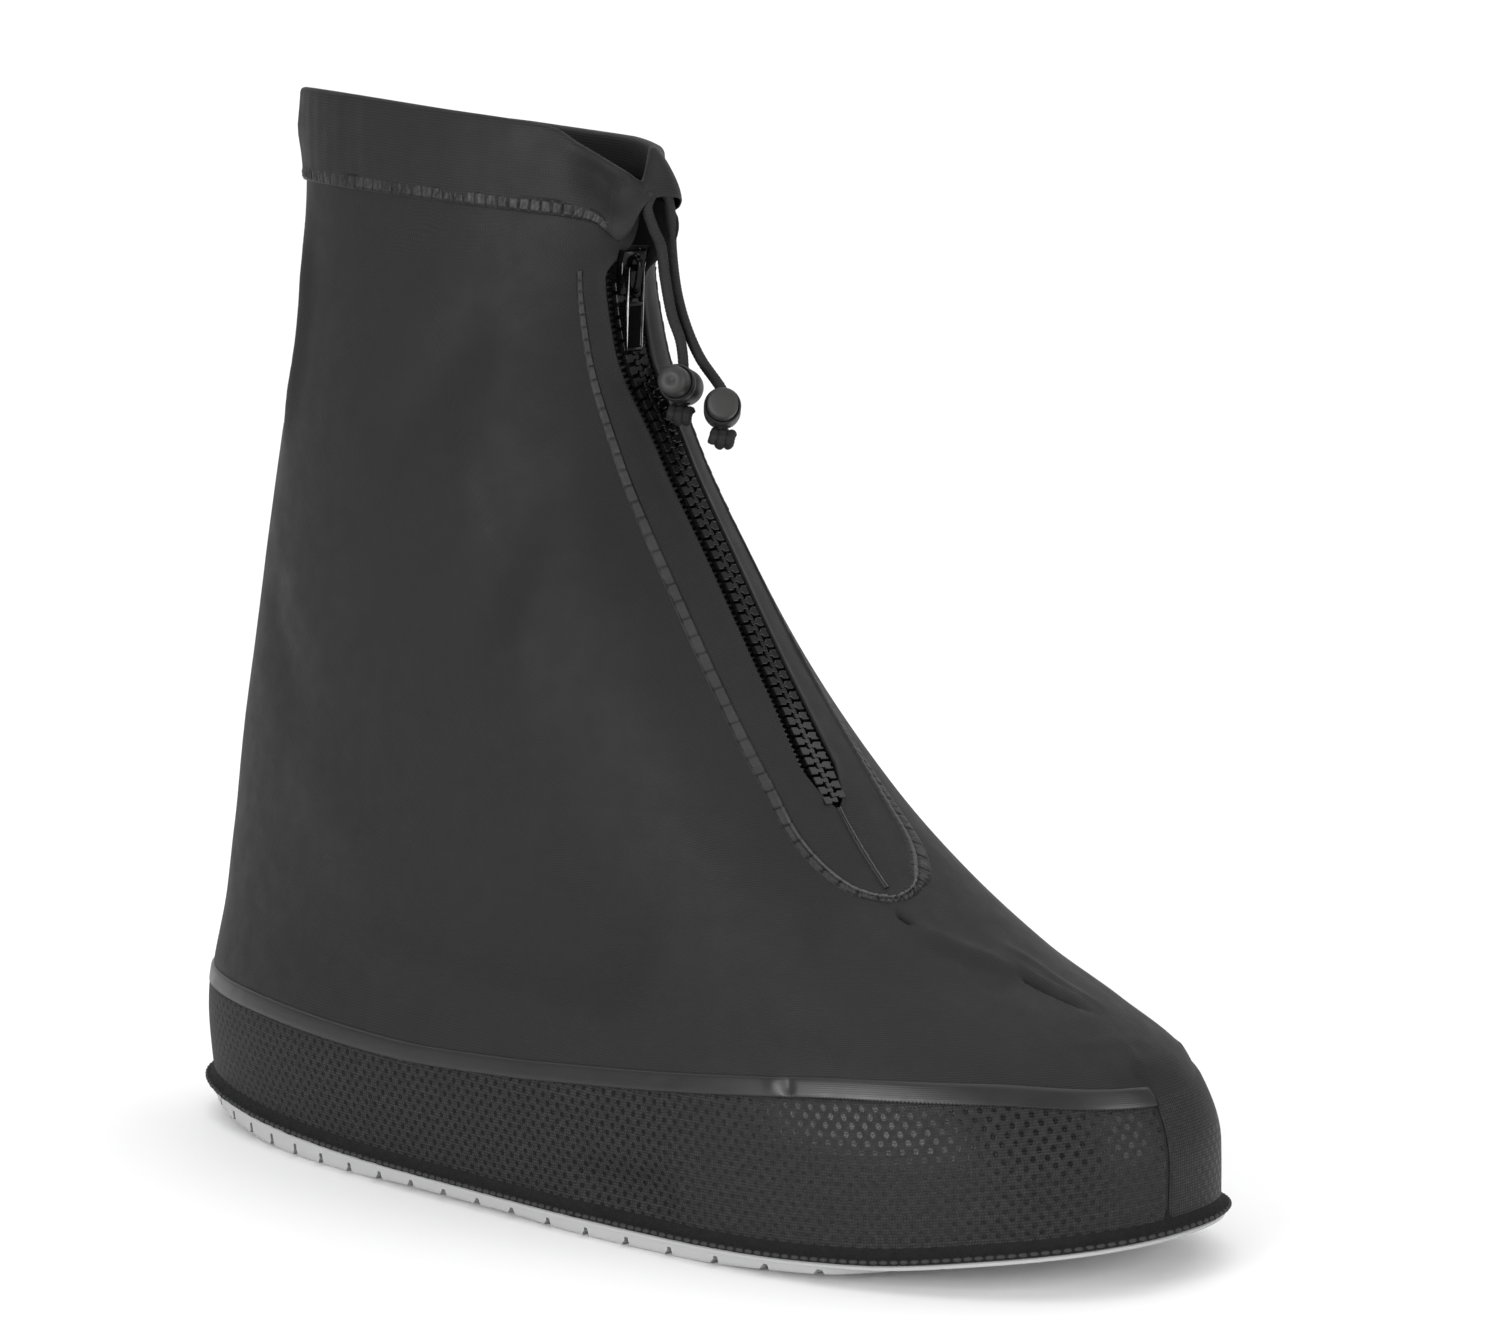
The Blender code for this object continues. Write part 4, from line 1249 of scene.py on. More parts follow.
@dataclass
class RandBand:
    """Rubber band round the foot: pitted face, smooth strip above and stitched flange below."""

    form: BootForm
    rubber: Finish = DottedFinish(
        "dotted_rubber", (0.0155, 0.0155, 0.0157), 0.6, Pattern.WEAVE, pitch=0.7, relief=0.1,
        strength=0.8, mottle=0.95, mottle_size=1.0, gloss_drift=0.06, specular=0.15, thread=1.3)
    film: Finish = Finish(
        "smooth_strip", (0.0155, 0.0152, 0.0162), 0.34, Pattern.RIBS, relief=0.03, strength=0.3,
        mottle=0.1, mottle_size=12.0, specular=0.3)
    welt: Finish = Finish(
        "flange_felt", (0.010, 0.010, 0.0105), 0.85, pitch=0.35, relief=0.3, strength=0.9,
        mottle=0.35, mottle_size=2.2, gloss_drift=0.1, specular=0.15)
    thread: Finish = Finish(
        "flange_thread", (0.024, 0.024, 0.025), 0.6, pitch=0.3, relief=0.1, strength=0.6,
        mottle=0.3, mottle_size=1.0, specular=0.25)
    cells: int = 210
    cell_steps: int = 6
    row_pitch: float = 1.85
    row_steps: int = 3
    pit_rows: int = 20
    pit_radius: float = 0.86
    pit_depth: float = 0.06
    plain_toe: float = 42.0
    panel_edge: float = 1.5
    toe_dots: float = 0.45
    toe_bare: float = 12.0
    face_off: float = 1.75
    roll_deep: float = 0.75
    roll_half: float = 0.7
    strip_tuck: float = 0.3
    strip_tuck_tall: float = 0.9
    toe_tuck: float = 1.2
    toe_tuck_tall: float = 5.0
    turn_in: float = 0.9
    turn_middle: float = 95.0
    strip_tall: float = 4.3
    strip_thick: float = 0.3
    toe_seam_deg: float = 5.5
    seam_gap: float = 0.5
    stitch_pitch: float = 2.7
    stitch_run: float = 760.0
    stitch_rise: float = 0.8
    stitch_off: float = 3.75
    stitch_size: Triple = (0.5, 0.55, 1.12)
    flange_columns: int = 900
    flange_level: float = 12.0
    flange_rough: float = 0.16
    flange_fine: float = 0.7
    flange_waves: Pair = (3.4, 1.3)
    strip_columns: int = 1400
    strip_tooth: float = 0.16
    tooth_rows: int = 4
    # height from the band's top, distance off the upper
    strip_profile: Rows = (
        (-4.6, 1.2), (-4.5, 1.6), (-4.35, 1.86), (-4.1, 1.92), (-3.2, 1.9), (-2.1, 1.86),
        (-1.0, 1.8), (-0.4, 1.7), (-0.12, 1.5), (0.0, 1.2), (0.0, 0.6))
    # height over the flange, distance off the upper
    flange_profile: Rows = (
        (6.0, 1.1), (4.4, 1.6), (3.2, 1.85), (2.4, 2.15), (1.85, 2.55), (1.55, 3.0), (1.35, 3.45),
        (1.05, 3.8), (0.7, 3.95), (0.3, 3.95), (0.05, 3.6), (0.0, 2.0), (0.0, 0.3))

    def round_angles(self, share: Array, start: float = 0.0,
                     stop: float = 0.0) -> tuple[Array, Array]:
        """Angles at even lengths round the band, from the toe seam to the inner side.

        Args:
            share: Share of the way round.
            start: Length left out after the seam.
            stop: Length left out before the seam.

        Returns:
            Angles in radians and lengths from the seam.
        """
        fine = np.radians(self.toe_seam_deg) - np.linspace(0, FULL_TURN, 4001)
        length = lengths_along(self.form.point(self.form.blend_height, fine))
        at = start + share * (length[-1] - start - stop)
        return np.interp(at, length, fine), at

    def stripped(self, at: Array) -> Array:
        """1 where the strip runs, 0 on the plain toe panel, by lengths from the toe seam."""
        return ease((at - self.plain_toe) / self.panel_edge + 0.5)

    def lines(self, u: Array, v: Array) -> tuple[Array, Array, Array, Array]:
        """Lay the face's grid, which reaches to the band's top on the plain toe panel.

        Args:
            u: Share round the foot.
            v: Share of the tallest part.

        Returns:
            Angles, lengths from the toe seam, height of the face's top and of each place.
        """
        angle, at = self.round_angles(u, self.seam_gap, self.seam_gap)
        top = self.form.band_rise(angle) - self.strip_tall * self.stripped(at)
        return angle, at, top, np.minimum(v * self.pit_rows * self.row_pitch, top)

    def place_face(self, u: Array, v: Array) -> Array:
        """Lay the pitted face, its rows at an even pitch from the flange up.

        Args:
            u: Share round the foot.
            v: Share of the tallest part.

        Returns:
            Points.
        """
        angle, at, top, rise = self.lines(u, v)
        total = at.max() + self.seam_gap
        row = np.rint(rise / self.row_pitch)
        pitch = total / self.cells
        column = at / pitch - 0.5 * (row % 2)
        away = np.hypot((column - np.rint(column)) * pitch, rise - row * self.row_pitch)
        pit = self.pit_depth * ease(1 - away / self.pit_radius) * self.dotted(at, rise, top)
        rolled = self.roll_deep * bell(np.minimum(at, total - at), self.roll_half)
        below = rise - top
        tucked = self.strip_tuck * ease(below / self.strip_tuck_tall + 1)
        panel = self.toe_tuck * (1 - self.stripped(at)) * ease(below / self.toe_tuck_tall + 1)
        return self.form.foot(angle, rise, self.face_off - pit - rolled - tucked - panel)

    def dotted(self, at: Array, rise: Array, top: Array) -> Array:
        """Whether there are dots: faint on the toe panel, none by the flange or under the strip.

        Args:
            at: Lengths from the toe seam.
            rise: Heights over the flange.
            top: Height of the face's top.

        Returns:
            1 to 0 for each place.
        """
        row = np.rint(rise / self.row_pitch)
        faint = self.toe_dots * (rise < top - self.toe_bare)
        return np.where(at > self.plain_toe, 1.0, faint) * (row > 1) * (rise < top - 0.4)

    def chart_face(self, u: Array, v: Array) -> Array:
        """Count the dots' columns and rows.

        Args:
            u: Share round the foot.
            v: Share of the tallest part.

        Returns:
            Column, row and whether there are dots.
        """
        _, at, top, rise = self.lines(u, v)
        pitch = (at.max() + self.seam_gap) / self.cells
        return np.stack((at / pitch, rise / self.row_pitch, self.dotted(at, rise, top)), 1)

    def place_strip(self, u: Array, v: Array) -> Array:
        """Lay the strip over the face's top, its lower edge finely toothed.

        Args:
            u: Share round the foot, the toe panel left out.
            v: Share along the profile, from its top.

        Returns:
            Points.
        """
        table = np.array(self.strip_profile)
        angle, _ = self.round_angles(u, self.plain_toe)
        step = nearest(len(table), 1 - v)
        odd = nearest(self.strip_columns + 1, u) % 2 > 0
        tooth = self.strip_tooth * np.where(odd, 1, -1) * (step < self.tooth_rows)
        rise = self.form.band_rise(angle) + table[step, 0] + tooth
        return self.form.foot(angle, rise, table[step, 1])

    def place_flange(self, u: Array, v: Array) -> Array:
        """Lay the flange round the foot, its edge uneven.

        Args:
            u: Share round the foot.
            v: Share along the profile, from below.

        Returns:
            Points.
        """
        angle, _ = self.round_angles(u)
        rise, off = np.array(self.flange_profile)[nearest(len(self.flange_profile), 1 - v)].T
        points = self.form.foot(angle, rise, off)
        coarse, fine = self.flange_waves
        uneven = ripple(points, coarse, Seed.FLANGE)
        uneven = uneven + self.flange_fine * ripple(points, fine, Seed.FLANGE_FINE)
        lift = self.flange_rough * uneven * np.clip(off - 2.0, 0, 1)
        return points + self.outward(angle) * lift[:, None]

    def outward(self, angle: Array) -> Array:
        """Directions off the foot beside the flange."""
        return self.form.normal(np.full(angle.shape, self.flange_level), angle)

    def build(self) -> None:
        """Make the face, the strip, the flange and its stitches."""
        face = lay_sheet(self.cells * self.cell_steps, self.pit_rows * self.row_steps,
                         self.place_face, self.chart_face)
        rim = [edge for edge in face.edges if edge.is_boundary]
        for vert in new_verts(bmesh.ops.extrude_edge_only(face, edges=rim)["geom"]):
            middle = min(max(vert.co.x, -self.turn_middle), self.turn_middle)
            vert.co -= Vector((vert.co.x - middle, vert.co.y, 0)).normalized() * self.turn_in
        add_piece("dotted_band", face, (self.rubber,), ("rand_band",), sharp=50)
        strip = lay_sheet(self.strip_columns, len(self.strip_profile) - 1, self.place_strip)
        bmesh.ops.reverse_faces(strip, faces=strip.faces)
        thicken(add_piece("band_strip", strip, (self.film,), sharp=60),
                self.strip_thick)
        flange = lay_sheet(self.flange_columns, len(self.flange_profile) - 1, self.place_flange)
        add_piece("sole_flange", flange, (self.welt,), sharp=70)
        self.build_stitches()

    def build_stitches(self) -> None:
        """Make the row of stitches along the flange."""
        shape = bmesh.new()
        bmesh.ops.create_uvsphere(shape, u_segments=8, v_segments=6, radius=1.0)
        bmesh.ops.scale(shape, verts=shape.verts, vec=self.stitch_size)
        count = int(self.stitch_run / self.stitch_pitch)
        angle, _ = self.round_angles((np.arange(count) + 0.5) / count)
        points = self.form.foot(angle, np.full(count, self.stitch_rise),
                                np.full(count, self.stitch_off))
        places = []
        for point, way, out in zip(points, np.gradient(points, axis=0), self.outward(angle)):
            z = Vector(way).normalized()
            x = (Vector(out) - z * Vector(out).dot(z)).normalized()
            places.append(frame_matrix(point, x, z.cross(x), z))
        row = bmesh.new()
        add_copies(row, shape, places)
        add_piece("flange_stitches", row, (self.thread,))


@dataclass
class Outsole:
    """Pale moulded sole: rounded lip, inset side and cross lugs."""

    form: BootForm
    pvc: Finish = Finish(
        "pale_sole", (0.35, 0.35, 0.352), 0.5, Pattern.STIPPLE, relief=0.03, strength=0.25,
        mottle=0.04, mottle_size=20.0, specular=0.45)
    columns: int = 360
    groove_wide: float = 1.2
    groove_tall: float = 0.8
    groove_round: float = 0.2
    groove_reach: float = 70.0
    groove_below: float = 4.0
    groove_first: float = -131.0
    groove_last: float = 128.0
    pitch_heel: float = 10.0
    pitch_toe: float = 15.5
    lip_low: float = 1.8
    toe_inset: float = 7.0
    toe_inset_from: float = 84.0
    toe_inset_run: float = 22.0
    chamfer: float = 1.6
    # distance off the outline, share from flange to floor side, drop below it, share of toe inset
    profile: Rows = (
        (2.0, 0, 0.30, 0), (2.45, 0, 0.40, 0), (2.7, 0, 0.70, 0), (2.7, 0, 1.2, 0),
        (2.6, 0, 1.42, 0), (2.3, 0, 1.55, 0), (2.1, 0, 1.62, 0.9), (2.0, 0, 1.8, 1),
        (1.75, 0.45, 1.0, 1), (1.4, 0.82, 0.25, 1), (1.05, 0.95, 0.05, 1), (0.5, 1, 0, 1),
        (-0.6, 1, 0, 1))

    def place(self, u: Array, v: Array) -> Array:
        """Lay the skin from the middle line on top, out over the lip and back underneath.

        Args:
            u: Share round the sole.
            v: Share along the profile.

        Returns:
            Points.
        """
        count = len(self.profile)
        step = nearest(count + 2, 1 - v)
        off, share, drop, inset = np.array(self.profile)[np.clip(step - 1, 0, count - 1)].T
        angle = -u * FULL_TURN
        line = self.form.sole_line
        base = self.form.point(line, angle)
        along = self.form.point(line, angle + 0.01) - self.form.point(line, angle - 0.01)
        out = unit(np.stack((-along[:, 1], along[:, 0]), 1))
        inset = inset * self.toe_inset
        inset = inset * ease((base[:, 0] - self.toe_inset_from) / self.toe_inset_run)
        points = base.copy()
        points[:, :2] += out * (off - inset)[:, None]
        flange = LEVELS.read(1, points[:, 0])
        points[:, 2] = flange + (LEVELS.read(3, points[:, 0]) - flange) * share - drop
        middle = (step == 0) | (step == count + 1)
        top = LEVELS.read(1, base[:, 0]) - self.profile[0][2]
        points[middle, 0] = base[middle, 0]
        points[middle, 1] = (base + self.form.point(line, -angle))[middle, 1] / 2
        points[middle, 2] = np.where(step == 0, top, LEVELS.read(3, base[:, 0]))[middle]
        return points

    def build(self) -> None:
        """Make the sole and cut its cross grooves."""
        sole = lay_sheet(self.columns, len(self.profile) + 1, self.place)
        bmesh.ops.recalc_face_normals(sole, faces=sole.faces)
        grooves = bmesh.new()
        corners = bmesh.new()
        place = self.groove_first
        half = self.groove_wide / 2
        wide = self.groove_reach
        reach = self.chamfer / math.sqrt(2)
        while place < self.groove_last:
            floor = float(LEVELS.read(3, place))
            lip = float(LEVELS.read(1, place)) - self.lip_low
            top = floor + (lip - floor) * self.groove_tall
            add_block(grooves, (place - half, -wide, floor - self.groove_below),
                      (place + half, wide, top), self.groove_round)
            tilt = Matrix.Translation((place - half, 0, floor))
            tilt = tilt @ Matrix.Rotation(math.pi / 4, 4, "Y")
            add_block(corners, (-reach, -wide, -reach), (reach, wide, reach), matrix=tilt)
            share = (place - self.groove_first) / (self.groove_last - self.groove_first)
            place += self.pitch_heel + (self.pitch_toe - self.pitch_heel) * share
        sole = cut_mesh(cut_mesh(sole, grooves), corners)
        add_piece("cleated_sole", sole, (self.pvc,), ("outsole",), sharp=35)


@dataclass
class CollarHem:
    """Hem folded over the rim, standing off at the front as the cord's mouth."""

    form: BootForm
    fabric: Finish = Upper.fabric
    columns: int = 420
    mouth_depth: float = 4.7
    slack: float = 0.3
    slack_fine: float = 0.12
    slack_waves: Pair = (16.0, 6.5)
    puff: float = 1.5
    puff_at: float = 0.55
    puff_tall: float = 0.24
    puff_wide: float = 26.0
    inner_tone: float = 1.3
    # share from the lower edge to the rim, distance off the upper, rise over the rim, share of
    # the mouth
    profile: Rows = (
        (0.06, 0.3, 0, 0.97), (0.0, 0.35, 0, 1.0), (0.0, 0.75, 0, 1.0), (0.03, 0.95, 0, 1.0),
        (0.12, 1.1, 0, 0.97), (0.25, 1.2, 0, 0.93), (0.36, 1.25, 0, 0.87), (0.48, 1.25, 0, 0.79),
        (0.6, 1.25, 0, 0.68), (0.72, 1.2, 0, 0.55), (0.83, 1.15, 0, 0.4), (0.92, 1.05, 0, 0.24),
        (0.98, 0.95, 0.2, 0.1), (1.0, 0.7, 0.6, 0), (1.0, 0.2, 0.95, 0), (1.0, -0.4, 1.05, 0),
        (1.0, -1.1, 0.85, 0), (1.0, -1.55, 0.35, 0), (0.97, -1.75, 0, 0), (0.85, -1.85, 0, 0),
        (0.7, -1.8, 0, 0), (0.55, -1.7, 0, 0), (0.5, -1.3, 0, 0))

    def place(self, u: Array, v: Array) -> Array:
        """Lay the hem from its lower edge over the rim to the inside of the collar.

        Args:
            u: Share round the collar.
            v: Share along the profile.

        Returns:
            Points.
        """
        form = self.form
        share, off, cap, spread = np.array(self.profile)[nearest(len(self.profile), v)].T
        angle = -u * FULL_TURN
        low = form.hem_edge(angle)
        height = low + (form.rim_height(angle) - form.rim_cap - low) * share + cap
        stand = self.mouth_depth * form.mouth(angle) * spread
        base = form.point(np.full(u.shape, form.hem), angle)
        slack = self.slack * ripple(base, self.slack_waves[0], Seed.HEM)
        slack += self.slack_fine * ripple(base, self.slack_waves[1], Seed.HEM_FINE)
        away = 180 - np.abs(form.degrees(angle))
        slack += self.puff * bell(share - self.puff_at, self.puff_tall) * bell(away, self.puff_wide)
        return form.skin(height, angle, off + stand + slack * np.clip(off, 0, 1))

    def tone(self, u: Array, v: Array) -> Array:
        """Painted shade and light of the creases, and lighter on the inside of the collar.

        Args:
            u: Share round the collar.
            v: Share along the profile.

        Returns:
            Tones.
        """
        angle = -u * FULL_TURN
        share, off, _, _ = np.array(self.profile)[nearest(len(self.profile), v)].T
        low = self.form.hem_edge(angle)
        height = low + (self.form.rim_height(angle) - low) * share
        return self.form.tone(height, angle) + self.inner_tone * (off < -1)

    def build(self) -> None:
        """Make the hem."""
        hem = lay_sheet(self.columns, len(self.profile) - 1, self.place, tone=self.tone)
        add_piece("collar_hem", hem, (self.fabric,), ("hem_casing",), sharp=75)


@dataclass
class WeldedSeams:
    """Low seam tapes pressed into short plates: round the zip, under the hem and below the zip."""

    form: BootForm
    film: Finish = Finish(
        "pressed_seam", (0.0160, 0.0158, 0.0158), 0.5, pitch=0.6, relief=0.05, strength=0.4,
        mottle_size=2.6, gloss_drift=0.08, specular=0.25, toned=True)
    plate: float = 4.9
    hem_plate: float = 3.8
    rise: float = 0.4
    hem_rise: float = 0.3
    hem_off: float = 0.85
    line_wide: float = 0.36
    line_deep: float = 0.3
    # painted shade in the lines between plates
    line_painted_shade: float = 1.7
    short_plates: float = 6.0
    short_run: float = 30.0
    groove_at: float = -0.22
    groove_half: float = 0.17
    groove_deep: float = 0.3
    # painted shade in the groove
    groove_painted_shade: float = 1.2
    ridge_at: float = -0.68
    ridge_half: float = 0.32
    ridge_tall: float = 0.25
    # painted highlight on the ridge
    ridge_painted_highlight: float = 1.3
    ragged_wave: float = 1.2
    ragged_tall: float = 0.35
    # painted light and shade that follow the ragged relief
    ragged_painted_light_and_shade: float = 1.3
    line_hidden: float = 0.85
    # painted shade on the plates beside a strong ridge highlight
    plate_painted_shade: float = 0.2
    plate_tilt: Pair = (0.16, 0.06)
    strew: Triple = (12.9, 7.3, 5.1)
    darkest: float = -0.92
    placket_steps: int = 1700
    hem_steps: int = 1150
    hem_span: Pair = (18.0, 326.0)
    hem_fade: Pair = (0.4, 0.3)
    hem_widths: Pair = (0.4, 0.85)
    hem_lift: float = 0.6
    hem_ragged: float = 0.25
    centre_steps: int = 80
    centre_span: Pair = (101.5, 85.5)
    centre_widths: Pair = (0.42, 0.55)
    centre_marks: Triple = (2.4, 0.0, 0.2)
    plate_shade: Pair = (0.45, 0.12)
    hem_shade: Pair = (-0.05, 0.4)
    centre_shade: Pair = (0.45, 0.0)
    # share across, share of the rise, and tone, which is painted shade at the tape's edges
    cross: Rows = (
        (-1.62, -0.6, -1.3), (-1.48, 0.15, -1.3), (-1.2, 0.3, -1.3), (-1.02, 0.7, -1.1),
        *((across, 0.95, 0.0) for across in (
            -0.92, -0.8, -0.66, -0.52, -0.38, -0.26, -0.16, -0.06, 0.08, 0.3, 0.6, 0.9)),
        (1.02, 0.7, -1.1), (1.2, 0.3, -1.3), (1.48, 0.15, -1.3), (1.62, -0.6, -1.3))
    # share of the way along the placket, half width
    placket_widths: Table = Table((
        (0.0, 0.5), (0.05, 0.7), (0.1, 0.95), (0.15, 1.15), (0.2, 1.2), (0.28, 1.05),
        (0.36, 0.95), (0.45, 0.9), (0.52, 1.0), (0.56, 2.0), (0.64, 2.0), (0.71, 1.5),
        (0.8, 1.0), (0.86, 0.6), (1.0, 0.6)))
    # share of the way along the placket, painted highlight of the ridge, painted shade of the
    # lines, raggedness
    placket_marks: Table = Table((
        (0.0, 0.0, 1.0, 0.1), (0.2, 0.0, 0.6, 0.0), (0.24, 0.3, 1.0, 0.0), (0.3, 1.2, 1.0, 0.1),
        (0.4, 2.0, 1.0, 0.3), (0.46, 2.2, 0.8, 1.0), (0.53, 2.2, 0.8, 1.0), (0.57, 1.4, 1.0, 0.3),
        (0.66, 1.5, 1.0, 0.2), (0.76, 2.0, 1.0, 0.2), (0.84, 0.6, 0.3, 0.0), (1.0, 0.0, 0.3, 0.0)))

    def press(self, across: Array, length: Array, plate: float, marks: Sequence[Array],
              shade: Pair) -> tuple[Array, Array]:
        """Sink lines between plates that tilt and differ a little, with painted shade in them, and
        raise the ridge under a painted highlight.

        Args:
            across: Distances across the tape, in half widths.
            length: Lengths along it.
            plate: Length of a plate.
            marks: Painted highlight of its ridge, painted shade of its lines, and its raggedness.
            shade: Tone of its plates and how far it spreads.

        Returns:
            Rise and tone.
        """
        table = np.array(self.cross)
        ridge, dark, ragged = marks
        count = length / plate + self.short_plates * (1 - np.exp(-length / self.short_run))
        number = np.floor(count + 0.5)
        place = count - number
        inside = np.clip((1.15 - np.abs(across)) / 0.1, 0, 1)
        raised = np.minimum(ridge, 1)
        groove = bell(across - self.groove_at, self.groove_half) * raised
        crest = bell(across - self.ridge_at, self.ridge_half)
        line = bell(place * plate, self.line_wide) * dark
        line = line * (1 - self.line_hidden * crest * raised)
        strewn = np.stack((length, across, 0 * across), -1)
        rough = ragged * ripple(strewn, self.ragged_wave, Seed.SEAM)
        turns = [np.sin(number * rate) for rate in self.strew]
        tilt = turns[0] * place * self.plate_tilt[0] + turns[1] * across * self.plate_tilt[1]
        rise = tilt - self.line_deep * line - self.groove_deep * groove
        rise = rise + self.ridge_tall * raised * crest + self.ragged_tall * rough
        # plates' own tone, with painted shade at the edges, in the lines and groove and beside the
        # ridge, a painted ridge highlight, and painted light and shade on the ragged relief
        tone = shade[0] - self.plate_painted_shade * raised + shade[1] * turns[2]
        tone = tone + np.interp(across, table[:, 0], table[:, 2])
        tone = tone - self.line_painted_shade * line - self.groove_painted_shade * groove
        tone = tone + self.ridge_painted_highlight * ridge * crest + self.ragged_painted_light_and_shade * rough
        return rise * inside, np.maximum(tone, self.darkest)

    def tape(self, name: str, heights: Array, angles: Array, widths: Array, rise: float,
             plate: float, marks: Sequence[Array], shade: Pair, off: float = 0.0,
             replaces: Sequence[str] = ()) -> None:
        """Make one tape.

        Args:
            name: Name of the piece.
            heights: Section heights of its route.
            angles: Angles of its route.
            widths: Half widths along it.
            rise: Height of its plates.
            plate: Length of a plate.
            marks: Painted highlight of its ridge, painted shade of its lines, and its raggedness,
                along it.
            shade: Tone of its plates and how far it spreads.
            off: Distance off the upper.
            replaces: Solids that it stands for.
        """
        points = self.form.skin(heights, angles, off)
        lengths = lengths_along(points)

        def press(across: Array, length: Array) -> tuple[Array, Array]:
            """Press this tape's plates."""
            there = [np.interp(length, lengths, mark) for mark in marks]
            return self.press(across, length, plate, there, shade)

        profile = np.array(self.cross)[:, :2] * (1.0, rise)
        ribbon = lay_ribbon(points, self.form.normal(heights, angles), profile, widths, press)
        add_piece(name, ribbon, (self.film,), replaces, sharp=60)

    def build(self) -> None:
        """Make the three tapes."""
        route = smooth_path([(height, arc, 0.0) for height, arc in SEAM_ROUTE], self.placket_steps)
        angles = self.form.angle_at(route[:, 0], route[:, 1])
        share = np.linspace(0, 1, self.placket_steps)
        marks = [self.placket_marks.read(column, share) for column in (1, 2, 3)]
        self.tape("placket_tape", route[:, 0], angles, self.placket_widths.read(1, share),
                  self.rise, self.plate, marks, self.plate_shade, 0.0, ("placket_seam",))
        around = np.radians(np.linspace(*self.hem_span, self.hem_steps))
        start, end = self.hem_fade
        fade = ease((around - around[0]) / start) * ease((around[-1] - around) / end)
        least, more = self.hem_widths
        marks = (0 * fade, fade, self.hem_ragged * fade)
        self.tape("hem_tape", self.form.hem_edge(around) + self.hem_lift, around,
                  least + more * fade, self.hem_rise, self.hem_plate, marks, self.hem_shade,
                  self.hem_off)
        heights = np.linspace(*self.centre_span, self.centre_steps)
        widths = np.linspace(*self.centre_widths, self.centre_steps)
        marks = [np.full(heights.shape, mark) for mark in self.centre_marks]
        self.tape("centre_seam", heights, self.form.zip_angle(heights), widths, self.rise,
                  self.plate, marks, self.centre_shade)


